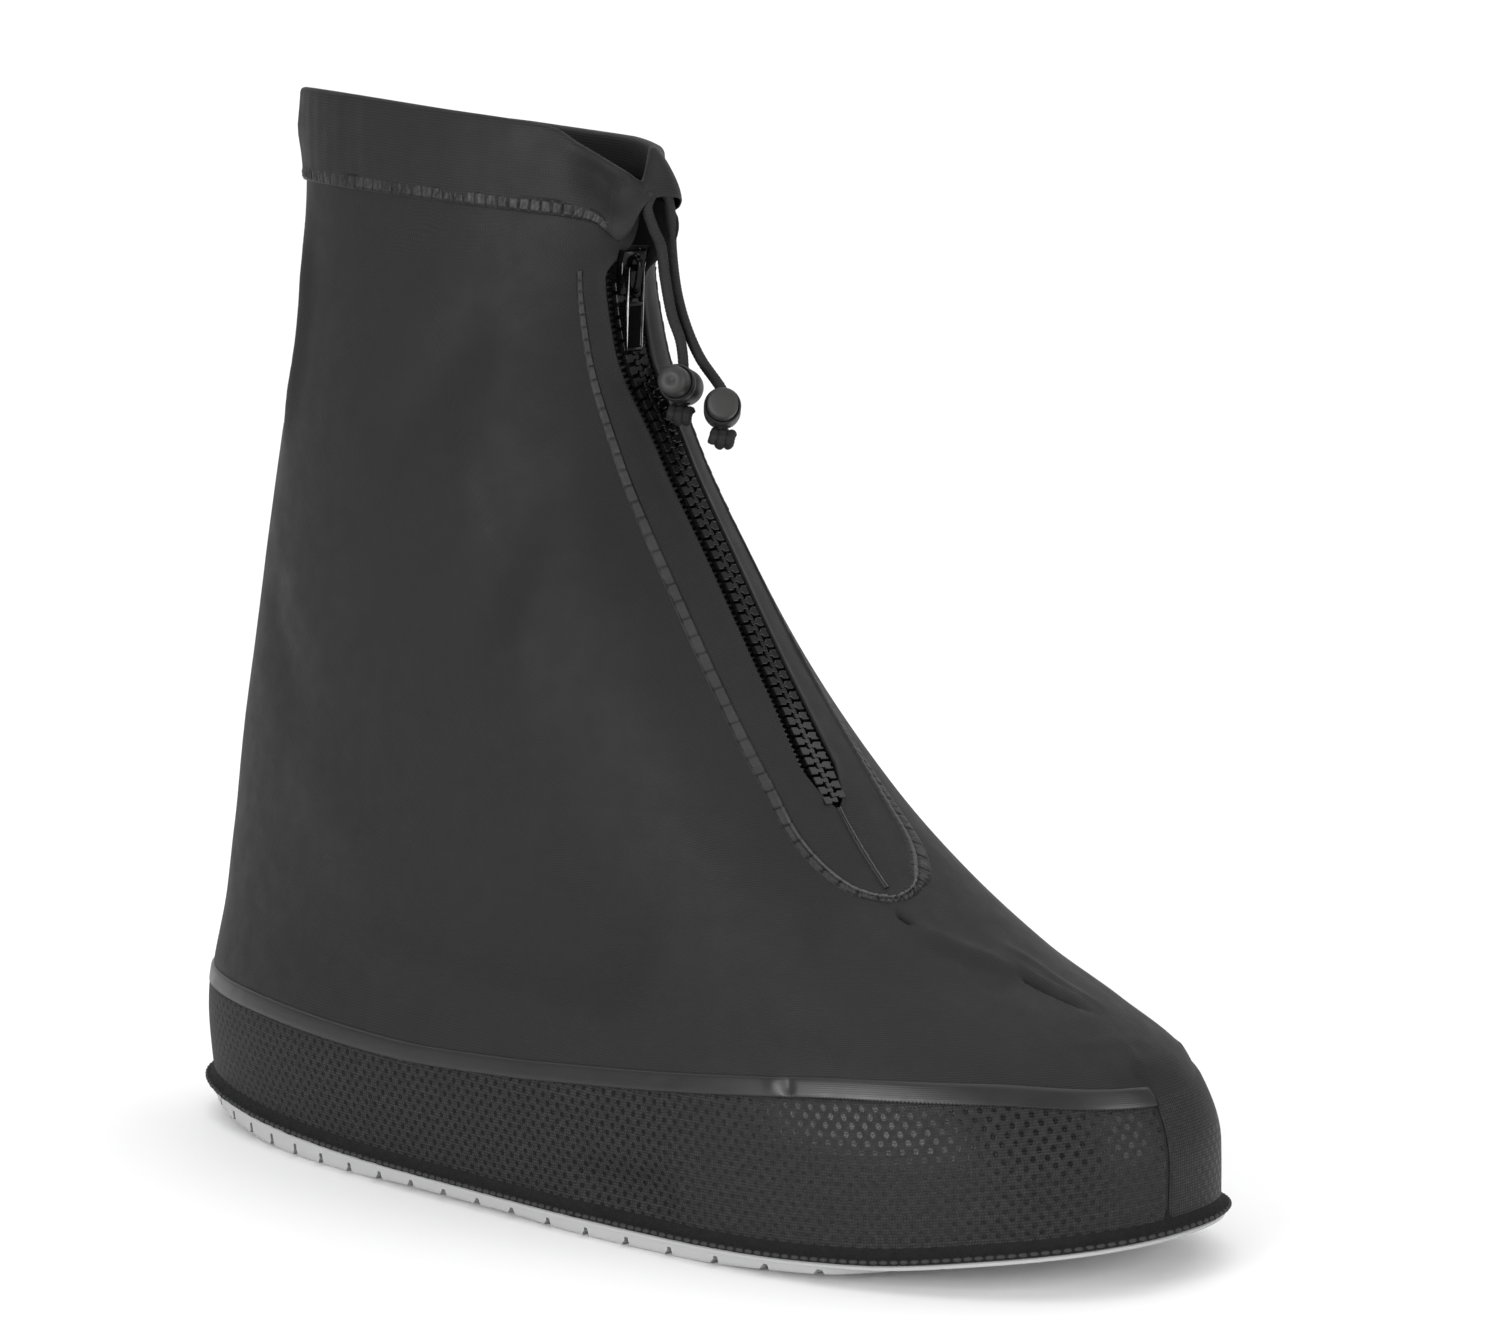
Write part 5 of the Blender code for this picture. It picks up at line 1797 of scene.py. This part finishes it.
@dataclass
class ZipFastener:
    """Moulded zip behind the slot, closed up to its slider, with a hanging pull."""

    form: BootForm
    cloth: Finish = Finish(
        "zip_cloth", (0.006, 0.006, 0.0065), 0.8, Pattern.WEAVE, pitch=0.9, relief=0.12,
        strength=0.8, mottle=0.2, mottle_size=4.0, specular=0.2)
    plastic: Finish = Finish(
        "tooth_plastic", (0.0042, 0.0042, 0.0044), 0.2, relief=0.02, strength=0.3, mottle=0.1,
        mottle_size=4.0, specular=0.35)
    metal: Finish = Finish(
        "black_metal", (0.0012, 0.0012, 0.0013), 0.14, pitch=0.8, relief=0.02, strength=0.25,
        mottle=0.15, mottle_size=5.0, gloss_drift=0.04, specular=0.14)
    # near-black, almost unreflecting finish in the pull's sunk middle: painted shade in the recess
    recess_shade: Finish = Finish("painted_recess_shade", (0.001, 0.001, 0.001), 0.6, specular=0.02)
    # bright metal on the long front edges of slider and pull: painted highlights
    edge_highlight: Finish = Finish(
        "painted_edge_highlight", (0.34, 0.34, 0.35), 0.28, pitch=0.4, relief=0.03, strength=0.4, mottle=0.25,
        mottle_size=1.5, gloss_drift=0.08, metallic=1.0)
    tooth_pitch: float = 2.9
    tooth_leg: Triple = (2.15, 1.9, 1.9)
    tooth_at: Triple = (0, 2.35, -0.25)
    # towards the middle of the chain: length, growth along the chain, growth in height
    tooth_steps: Rows = ((0.35, 0.45, 0.98), (0.5, 1.0, 1.0), (0.3, 1.6, 1.0), (0.9, 0.85, 0.98))
    rib_pitch: float = 1.45
    rib_low: Triple = (-0.42, 3.35, -1.6)
    rib_high: Triple = (0.42, 5.0, -0.55)
    tape_half: float = 11.0
    tape_off: float = -1.5
    tape_thick: float = 0.7
    tape_from: float = 95.0
    tape_tall: float = 137.0
    chain_from: float = 103.0
    slider_at: float = 226.0
    slider_long: float = 11.0
    slider_half: float = 3.5
    slider_low: float = 1.0
    slider_high: float = 2.1
    skirt_drop: float = 1.3
    skirt_below: float = 1.9
    waist_deep: float = 0.16
    waist_at: float = -2.2
    waist_half: float = 2.4
    corner_cut: float = 0.18
    crown: float = 0.25
    crown_half: float = 4.0
    crown_from: float = 1.5
    bridge_radius: float = 0.55
    bridge_corner: float = 0.32
    tooth_round: float = 0.14
    rib_round: float = 0.2
    slider_round: float = 0.22
    pull_round: float = 0.26
    # route of the bridge over the slider: along it, across, outward
    bridge: tuple[Triple, ...] = (
        (-4.2, 0, 1.5), (-4.15, 0, 3.4), (-2.9, 0, 4.55), (0, 0, 4.75), (2.9, 0, 4.55),
        (4.15, 0, 3.4), (4.2, 0, 1.5))
    pin: Triple = (-10.30844, -4.67001, 224.49747)
    pull_down: Triple = (-0.024867, -0.020399, -0.999483)
    pull_side: Triple = (-0.238118, -0.970895, 0.02574)
    pull_thick: float = 1.1
    pull_lines: tuple[float, ...] = (-0.6, 0.6, 8.0, 9.0, 18.9, 20.0)
    pull_bars: tuple[float, ...] = (-2.5, -1.9, 1.9, 2.5)
    pull_ends: float = 0.8
    grip_inset: float = 0.12
    grip_deep: float = 0.35
    slider_highlight_from: float = 3.3
    pull_highlight_from: float = 2.1

    def build(self) -> None:
        """Make the tape, the teeth, the edge ribs, the slider and the pull."""
        self.build_tape()
        self.build_teeth()
        self.build_slider()
        self.build_pull()

    def build_tape(self) -> None:
        """Make the woven tape under the slot."""
        def place(u: Array, v: Array) -> Array:
            """Place the grid.

            Args:
                u: Share across the tape.
                v: Share up it.

            Returns:
                Points.
            """
            height = self.tape_from + self.tape_tall * v
            arc = ZIP_LINE.read(1, height) + self.tape_half * (1 - 2 * u)
            angle = self.form.angle_at(height, arc)
            return self.form.point(height, angle) + self.form.normal(height, angle) * self.tape_off

        thicken(add_piece("zip_tapes", lay_sheet(24, 120, place), (self.cloth,),
                          ("zip_tape",)), self.tape_thick)

    def stations(self, pitch: float, low: float, high: float) -> list[Matrix]:
        """Even places up the chain.

        Args:
            pitch: Distance between places.
            low: First height.
            high: Last height.

        Returns:
            Place matrices with X up, Y to the outer side and Z outward.
        """
        fine = np.linspace(low, high, 500)
        length = lengths_along(self.form.zip_frames(fine)[0])
        heights = np.interp(np.arange(0, length[-1], pitch), length, fine)
        return [frame_matrix(*axes) for axes in zip(*self.form.zip_frames(heights))]

    def tooth(self) -> Mesh:
        """One tooth of the outer side: a leg on the tape, a neck and a head past the middle.

        Returns:
            The mesh, X along the chain and Y to the outer side.
        """
        bm = bmesh.new()
        bmesh.ops.create_cube(bm, size=1.0)
        bmesh.ops.scale(bm, verts=bm.verts, vec=self.tooth_leg)
        bmesh.ops.translate(bm, verts=bm.verts, vec=self.tooth_at)
        for reach, wide, tall in self.tooth_steps:
            face = min(bm.faces, key=lambda item: item.calc_center_median().y)
            tip = new_verts(bmesh.ops.extrude_face_region(bm, geom=[face])["geom"])
            bm.faces.remove(face)
            bmesh.ops.translate(bm, verts=tip, vec=(0, -reach, 0))
            bmesh.ops.scale(bm, verts=tip, vec=(wide, 1, tall))
        bmesh.ops.recalc_face_normals(bm, faces=bm.faces)
        round_edges(bm, sharp_edges(bm, 0.6), self.tooth_round, 1)
        return bm

    def build_teeth(self) -> None:
        """Make the two rows of teeth and the ribbed edges beside them."""
        half_turn = Matrix.Rotation(math.pi, 4, "Z")
        places = self.stations(self.tooth_pitch / 2, self.chain_from, self.slider_at - 1)
        teeth = bmesh.new()
        add_copies(teeth, self.tooth(), [place @ half_turn if k % 2 else place
                                         for k, place in enumerate(places)])
        add_piece("zip_teeth", teeth, (self.plastic,), ("zip_chain",), sharp=30)
        rib = bmesh.new()
        add_block(rib, self.rib_low, self.rib_high, self.rib_round)
        sides = (Matrix(), Matrix.Scale(-1, 4, (0, 1, 0)))
        places = self.stations(self.rib_pitch, self.chain_from + 4, self.slider_at + 6)
        edges = bmesh.new()
        add_copies(edges, rib, [place @ side for place in places for side in sides])
        bmesh.ops.recalc_face_normals(edges, faces=edges.faces)
        add_piece("zip_edge_ribs", edges, (self.plastic,))

    def slider_matrix(self) -> Matrix:
        """Place of the slider.

        Returns:
            Matrix with X up the chain, Y to the outer side and Z outward.
        """
        reach = np.array((-0.5, 0.5, 0.0)) * self.slider_long
        ends, _, _, outward = self.form.zip_frames(self.slider_at + reach)
        up = Vector(ends[1] - ends[0]).normalized()
        out = Vector(outward[2])
        out = (out - up * out.dot(up)).normalized()
        return frame_matrix((ends[0] + ends[1]) / 2, up, out.cross(up), out)

    def build_slider(self) -> None:
        """Make the slider: a waisted plate with turned-down sides and an arched bridge."""
        body = bmesh.new()
        half = self.slider_long / 2
        add_block(body, (-half, -self.slider_half, self.slider_low),
                  (half, self.slider_half, self.slider_high))
        bmesh.ops.subdivide_edges(body, edges=body.edges, cuts=3, use_grid_fill=True)
        for vert in body.verts:
            waist = self.waist_deep * bell(vert.co.x - self.waist_at, self.waist_half)
            corner = 1 - self.corner_cut * max(abs(vert.co.x) / half - 0.5, 0)
            vert.co.y *= (1 - waist) * corner
            if vert.co.z > self.crown_from:
                vert.co.z += self.crown * (1 - (vert.co.y / self.crown_half) ** 2)
        sides = [face for face in body.faces if abs(face.normal.y) > 0.5]
        skirt = new_verts(bmesh.ops.extrude_face_region(body, geom=sides)["geom"])
        bmesh.ops.translate(body, vec=(0, 0, -self.skirt_drop),
                            verts=[vert for vert in skirt if vert.co.z < self.skirt_below])
        bmesh.ops.delete(body, geom=sides, context="FACES_ONLY")
        bmesh.ops.recalc_face_normals(body, faces=body.faces)
        round_edges(body, sharp_edges(body, 0.7), self.slider_round, 2)
        self.paint_edge_highlights(body, self.slider_highlight_from)

        def flat_bar(angle: Array, _: Array) -> Array:
            """Corners of the bridge's bar."""
            return self.bridge_corner * np.abs(np.cos(2 * angle + math.pi / 2)) ** 2

        arch = smooth_path(self.bridge, 40)
        add_copies(body, lay_tube(arch, self.bridge_radius, 16, flat_bar), [Matrix()])
        move(body, self.slider_matrix())
        add_piece("slider_body", body, (self.metal, self.recess_shade, self.edge_highlight),
                  ("zip_slider",), sharp=35)

    @staticmethod
    def paint_edge_highlights(bm: Mesh, reach: float) -> None:
        """Give the long edges of the front the third finish, bright metal that paints their
        highlights.

        Args:
            bm: Mesh with its length along X and its front along Z.
            reach: Distance from the middle line at which the painted edge highlights begin.
        """
        for face in bm.faces:
            if abs(face.normal.z) > 0.3 and abs(face.calc_center_median().y) > reach:
                face.material_index = 2

    def build_pull(self) -> None:
        """Make the pull: a loop over the pin and a grip with a sunk middle."""
        bm = bmesh.new()
        columns = len(self.pull_lines) - 1
        rows = len(self.pull_bars) - 1
        bmesh.ops.create_grid(bm, x_segments=columns, y_segments=rows, size=1.0)
        for vert in bm.verts:
            column = round((vert.co.x + 1) / 2 * columns)
            row = round((vert.co.y + 1) / 2 * rows)
            vert.co = (self.pull_lines[column], self.pull_bars[row], 0)
        bmesh.ops.delete(bm, geom=self.middle_faces(bm, 1, 8), context="FACES")
        bmesh.ops.solidify(bm, geom=bm.faces, thickness=self.pull_thick)
        centre = sum(vert.co.z for vert in bm.verts) / len(bm.verts)
        bmesh.ops.translate(bm, verts=bm.verts, vec=(0, 0, -centre))
        bmesh.ops.recalc_face_normals(bm, faces=bm.faces)
        # the sunk middle gets the second finish, painted shade in the recess
        for grip in self.middle_faces(bm, 9, 18):
            bmesh.ops.inset_individual(bm, faces=[grip], thickness=self.grip_inset,
                                       depth=-self.grip_deep)
            grip.material_index = 1
        for vert in bm.verts:
            if abs(vert.co.y) > 2.4 and (vert.co.x < 0 or vert.co.x > 19.5):
                vert.co.y *= self.pull_ends
        round_edges(bm, sharp_edges(bm, 0.6), self.pull_round, 2)
        self.paint_edge_highlights(bm, self.pull_highlight_from)
        down = Vector(self.pull_down)
        side = Vector(self.pull_side)
        move(bm, frame_matrix(self.pin, down, side, down.cross(side)))
        add_piece("pull_tab", bm, (self.metal, self.recess_shade, self.edge_highlight),
                  ("zip_pull",), Body.PULL, sharp=35)

    @staticmethod
    def middle_faces(bm: Mesh, low: float, high: float) -> list[bmesh.types.BMFace]:
        """Front and back faces on the pull's middle line.

        Args:
            bm: Mesh of the pull.
            low: Where they begin along it.
            high: Where they end.

        Returns:
            The faces.
        """
        bm.normal_update()
        centres = ((face, face.calc_center_median()) for face in bm.faces)
        return [face for face, centre in centres if abs(face.normal.z) > 0.9
                and low < centre.x < high and abs(centre.y) < 1]


@dataclass
class DrawCord:
    """One end of the elastic draw cord: cord, barrel lock with its button, and knot."""

    tag: str
    route: tuple[Triple, ...]
    hole: Triple
    axis: Triple
    face: ButtonFace
    button_body: Body
    elastic: Finish = Finish(
        "braided_elastic", (0.014, 0.014, 0.0145), 0.7, Pattern.RIBS, pitch=0.7, relief=0.1,
        mottle=0.2, mottle_size=1.6, specular=0.2)
    shell: Finish = Finish(
        "lock_plastic", (0.012, 0.012, 0.0125), 0.5, pitch=0.6, relief=0.03, strength=0.4,
        mottle=0.1, mottle_size=5.0, specular=0.28)
    cap: Finish = Finish(
        "button_plastic", (0.023, 0.0227, 0.0223), 0.5, relief=0.03, strength=0.4, mottle=0.08,
        mottle_size=4.0, specular=0.28)
    radius: float = 1.3
    braid_rise: float = 0.1
    braid_strands: int = 6
    braid_rate: float = 3.2
    stations: int = 180
    turn_steps: int = 44
    bore: float = 2.05
    bore_long: float = 14.0
    # along the lock's hole, where the cord runs straight
    hole_steps: tuple[float, ...] = (-4.5, 0.0, 4.8)
    # radius, place along the lock
    shell_profile: Rows = (
        (0, -4.7), (3.1, -4.7), (3.75, -4.55), (4.2, -4.2), (4.45, -3.7), (4.5, -3.2), (4.5, 4.5),
        (4.46, 4.62), (4.32, 4.7), (4.32, 5.0), (4.46, 5.08), (4.5, 5.2), (4.5, 6.95),
        (4.42, 7.25), (4.2, 7.45), (4.02, 7.42), (3.95, 7.2), (3.95, 2.5), (0, 2.5))
    button_profiles: dict[ButtonFace, Rows] = field(default_factory=lambda: {
        ButtonFace.DIMPLED: (
            (0, 5.6), (3.6, 5.6), (3.75, 5.75), (3.75, 10.7), (3.71, 11.2), (3.55, 11.75),
            (3.25, 12.25), (2.8, 12.62), (2.2, 12.88), (1.6, 12.95), (1.1, 12.86), (0.7, 12.66),
            (0.35, 12.5), (0, 12.45)),
        ButtonFace.FLAT: (
            (0, 5.6), (3.6, 5.6), (3.75, 5.75), (3.75, 12.0), (3.7, 12.35), (3.5, 12.65),
            (3.2, 12.82), (2.6, 12.92), (1.4, 12.98), (0, 13.0)),
    })
    knot_at: float = 7.0
    knot_turns: float = 2.6
    knot_least: float = 0.2
    knot_reach: float = 1.35
    knot_wide: float = 5.2
    knot_cord: float = 1.2
    knot_core: float = 2.1
    knot_end: float = 0.12

    def lock_frame(self) -> tuple[Matrix, Vector]:
        """Place of the lock.

        Returns:
            Matrix with Z along the button and X down the hole, and that way down.
        """
        axis = Vector(self.axis).normalized()
        down = Vector((0, 0, -1))
        down = (down - axis * down.dot(axis)).normalized()
        return frame_matrix(self.hole, down, axis.cross(down), axis), down

    def build(self) -> None:
        """Make the lock, the button, the knot and the cord that carries them."""
        place, down = self.lock_frame()
        bore = bmesh.new()
        bmesh.ops.create_cone(bore, cap_ends=True, segments=28, radius1=self.bore,
                              radius2=self.bore, depth=self.bore_long)
        move(bore, Matrix.Rotation(math.pi / 2, 4, "Y"))
        barrel = cut_mesh(turned(self.shell_profile, self.turn_steps), bore)
        move(barrel, place)
        lock = add_piece("lock_barrel_" + self.tag, barrel, (self.shell,),
                         ("cord_lock_" + self.tag,), sharp=35)
        button = turned(self.button_profiles[self.face], self.turn_steps)
        move(button, place)
        cap = add_piece("lock_cap_" + self.tag, button, (self.cap,),
                        ("lock_button_" + self.tag,), self.button_body, sharp=40)
        self.build_cord(down, [lock, cap, self.build_knot(place, down)])

    def build_knot(self, place: Matrix, down: Vector) -> Piece:
        """Make the knot below the lock, tight turns of the same cord.

        Args:
            place: Place of the lock.
            down: Way down its hole.

        Returns:
            The knot.
        """
        share = np.linspace(0, 1, 220)
        turn = share * self.knot_turns * FULL_TURN
        drawn_in = ease(share / self.knot_end) * ease((1 - share) / self.knot_end)
        reach = self.knot_least + self.knot_reach * drawn_in
        loops = np.stack((reach * np.cos(turn), (share - 0.5) * self.knot_wide,
                          reach * np.sin(turn)), 1)
        bm = lay_tube(loops, self.knot_cord, 16, self.braid)
        bmesh.ops.create_uvsphere(bm, u_segments=20, v_segments=12, radius=self.knot_core)
        centre = Vector(self.hole) + down * self.knot_at
        move(bm, Matrix.Translation(centre) @ place.to_3x3().to_4x4())
        return add_piece("knot_" + self.tag, bm, (self.elastic,),
                         ("cord_knot_" + self.tag,), sharp=60)

    def braid(self, angle: Array, length: Array) -> Array:
        """Relief of the braided sleeve."""
        around, along = self.braid_strands * angle, self.braid_rate * length
        return self.braid_rise * np.cos(around + along) * np.cos(around - along)

    def build_cord(self, down: Vector, carried: list[Piece]) -> None:
        """Make the cord from the hem's mouth through its lock into the knot.

        Args:
            down: Way down the lock's hole.
            carried: Pieces on the cord; not used.
        """
        straight = [tuple(Vector(self.hole) + down * step) for step in self.hole_steps]
        path = smooth_path([*self.route, *straight], self.stations)
        cord = add_piece("draw_cord_end_" + self.tag, lay_tube(path, self.radius, 20, self.braid),
                         (self.elastic,),
                         ("draw_cord_" + self.tag,), sharp=60)
        float(lengths_along(path)[-1]) * MM


@dataclass
class Studio:
    """Pale floor, soft lights and the camera, in metres."""

    floor: Finish = Finish(
        "studio_floor", (0.92, 0.92, 0.92), 0.7, pitch=4.0, relief=0.02, strength=0.1, mottle=0.01,
        mottle_size=200.0, gloss_drift=0.02)
    azimuth: float = 40.5
    elevation: float = 14.5
    distance: float = 1.5
    aim: Triple = (-0.0078, 0.0351, 0.1226)
    lens: float = 146.0
    sensor: float = 36.0
    surround: float = 0.4
    floor_from: float = -2.5
    floor_half: float = 3.0
    sweep_from: float = 1.4
    sweep: float = 0.7
    wall_top: float = 2.4
    light_aim: Triple = (0.0, 0.0, 0.1)
    # name, place, width and height, power
    boxes: tuple[tuple[str, Triple, Pair, float], ...] = (
        ("top_box", (-0.4, 0.5, 2.5), (4.6, 4.6), 82.0),
        ("side_box", (0.1, -1.35, 0.33), (0.95, 0.38), 14.5),
        ("front_box", (1.5, 0.1, 0.45), (0.8, 0.8), 11.0),
        ("strip_box", (0.1, -1.45, 0.95), (0.5, 0.06), 3.0),
    )

    def build(self) -> None:
        """Make the floor, the lights and the camera."""
        self.build_floor()
        self.build_lights()
        self.build_camera()

    def build_floor(self) -> None:
        """Make the floor sheet, swept up to a wall behind the shoe."""
        turn = np.linspace(0, math.pi / 2, 25)[1:]
        bend = np.stack((self.sweep_from + self.sweep * np.sin(turn),
                         self.sweep * (1 - np.cos(turn))), 1)
        line = np.vstack(((self.floor_from, 0.0), (self.sweep_from, 0.0), bend,
                          (self.sweep_from + self.sweep, self.wall_top)))
        away = math.radians(self.azimuth)
        back = np.array((-math.sin(away), math.cos(away), 0.0))
        side = np.array((back[1], -back[0], 0.0))

        def place(u: Array, v: Array) -> Array:
            """Place the grid.

            Args:
                u: Share across the sheet.
                v: Share along it.

            Returns:
                Points.
            """
            run, rise = line[nearest(len(line), v)].T[:, :, None]
            across = self.floor_half * (2 * u - 1)[:, None]
            return run * back + across * side + rise * (0.0, 0.0, 1.0)

        mesh = to_data("floor", lay_sheet(1, len(line) - 1, place))
        mesh.shade_smooth()
        mesh.materials.append(self.floor.material())
        add_object("floor", mesh)

    @staticmethod
    def point_at(turned_object: Piece, aim: Triple) -> None:
        """Turn a light or the camera to a place."""
        way = Vector(aim) - turned_object.location
        turned_object.rotation_euler = way.to_track_quat("-Z", "Y").to_euler()

    def build_lights(self) -> None:
        """Make the soft boxes and the bright surround."""
        world = bpy.data.worlds.new("surround")
        world.use_nodes = True
        sky = world.node_tree.nodes["Background"]
        sky.inputs["Color"].default_value = (1.0, 1.0, 1.0, 1.0)
        sky.inputs["Strength"].default_value = self.surround
        bpy.context.scene.world = world
        bpy.context.scene.view_settings.view_transform = "Standard"
        for name, place, size, power in self.boxes:
            data = bpy.data.lights.new(name, "AREA")
            data.shape = "RECTANGLE"
            data.size, data.size_y = size
            data.energy = power
            light = add_object(name, data)
            light.location = place
            self.point_at(light, self.light_aim)

    def build_camera(self) -> None:
        """Make the camera, a long lens on the outer front quarter."""
        turn = math.radians(self.azimuth)
        rise = math.radians(self.elevation)
        level = math.cos(rise)
        away = Vector((math.sin(turn) * level, -math.cos(turn) * level, math.sin(rise)))
        data = bpy.data.cameras.new("camera")
        data.lens = self.lens
        data.sensor_width = self.sensor
        data.sensor_fit = "HORIZONTAL"
        camera = add_object("camera", data)
        camera.location = away * self.distance
        self.point_at(camera, self.aim)
        bpy.context.scene.camera = camera


CORD_A = ((-5.4, -4.2, 243.0), (-6.4, -5.0, 239.5), (-7.0, -2.2, 234.5), (-7.2, 1.0, 229.5),
          (-7.2, 2.4, 222.0), (-6.8, 4.4, 213.0), (-5.0, 5.6, 206.5))
CORD_B = ((-5.6, 1.0, 243.5), (-6.6, 3.8, 237.5), (-8.6, 6.6, 228.0), (-8.4, 8.2, 218.0),
          (-6.2, 9.2, 209.5), (-2.2, 9.8, 202.0))


def main() -> None:
    """Build every part of the look in order."""
    logging.basicConfig(level=logging.INFO, format="%(name)s: %(message)s")
    form = BootForm()
    for part in (
            Studio(),
            DrawCord("a", CORD_A, (-2.6, 3.5, 196.0), (0.45, -0.85, 0.24), ButtonFace.DIMPLED,
                     Body.BUTTON_A),
            DrawCord("b", CORD_B, (5.8, 8.4, 190.5), (0.629, -0.736, 0.25), ButtonFace.FLAT,
                     Body.BUTTON_B),
            Outsole(form), RandBand(form), Upper(form), CollarHem(form), WeldedSeams(form),
            ZipFastener(form)):
        part.build()


if __name__ == "__main__":
    main()
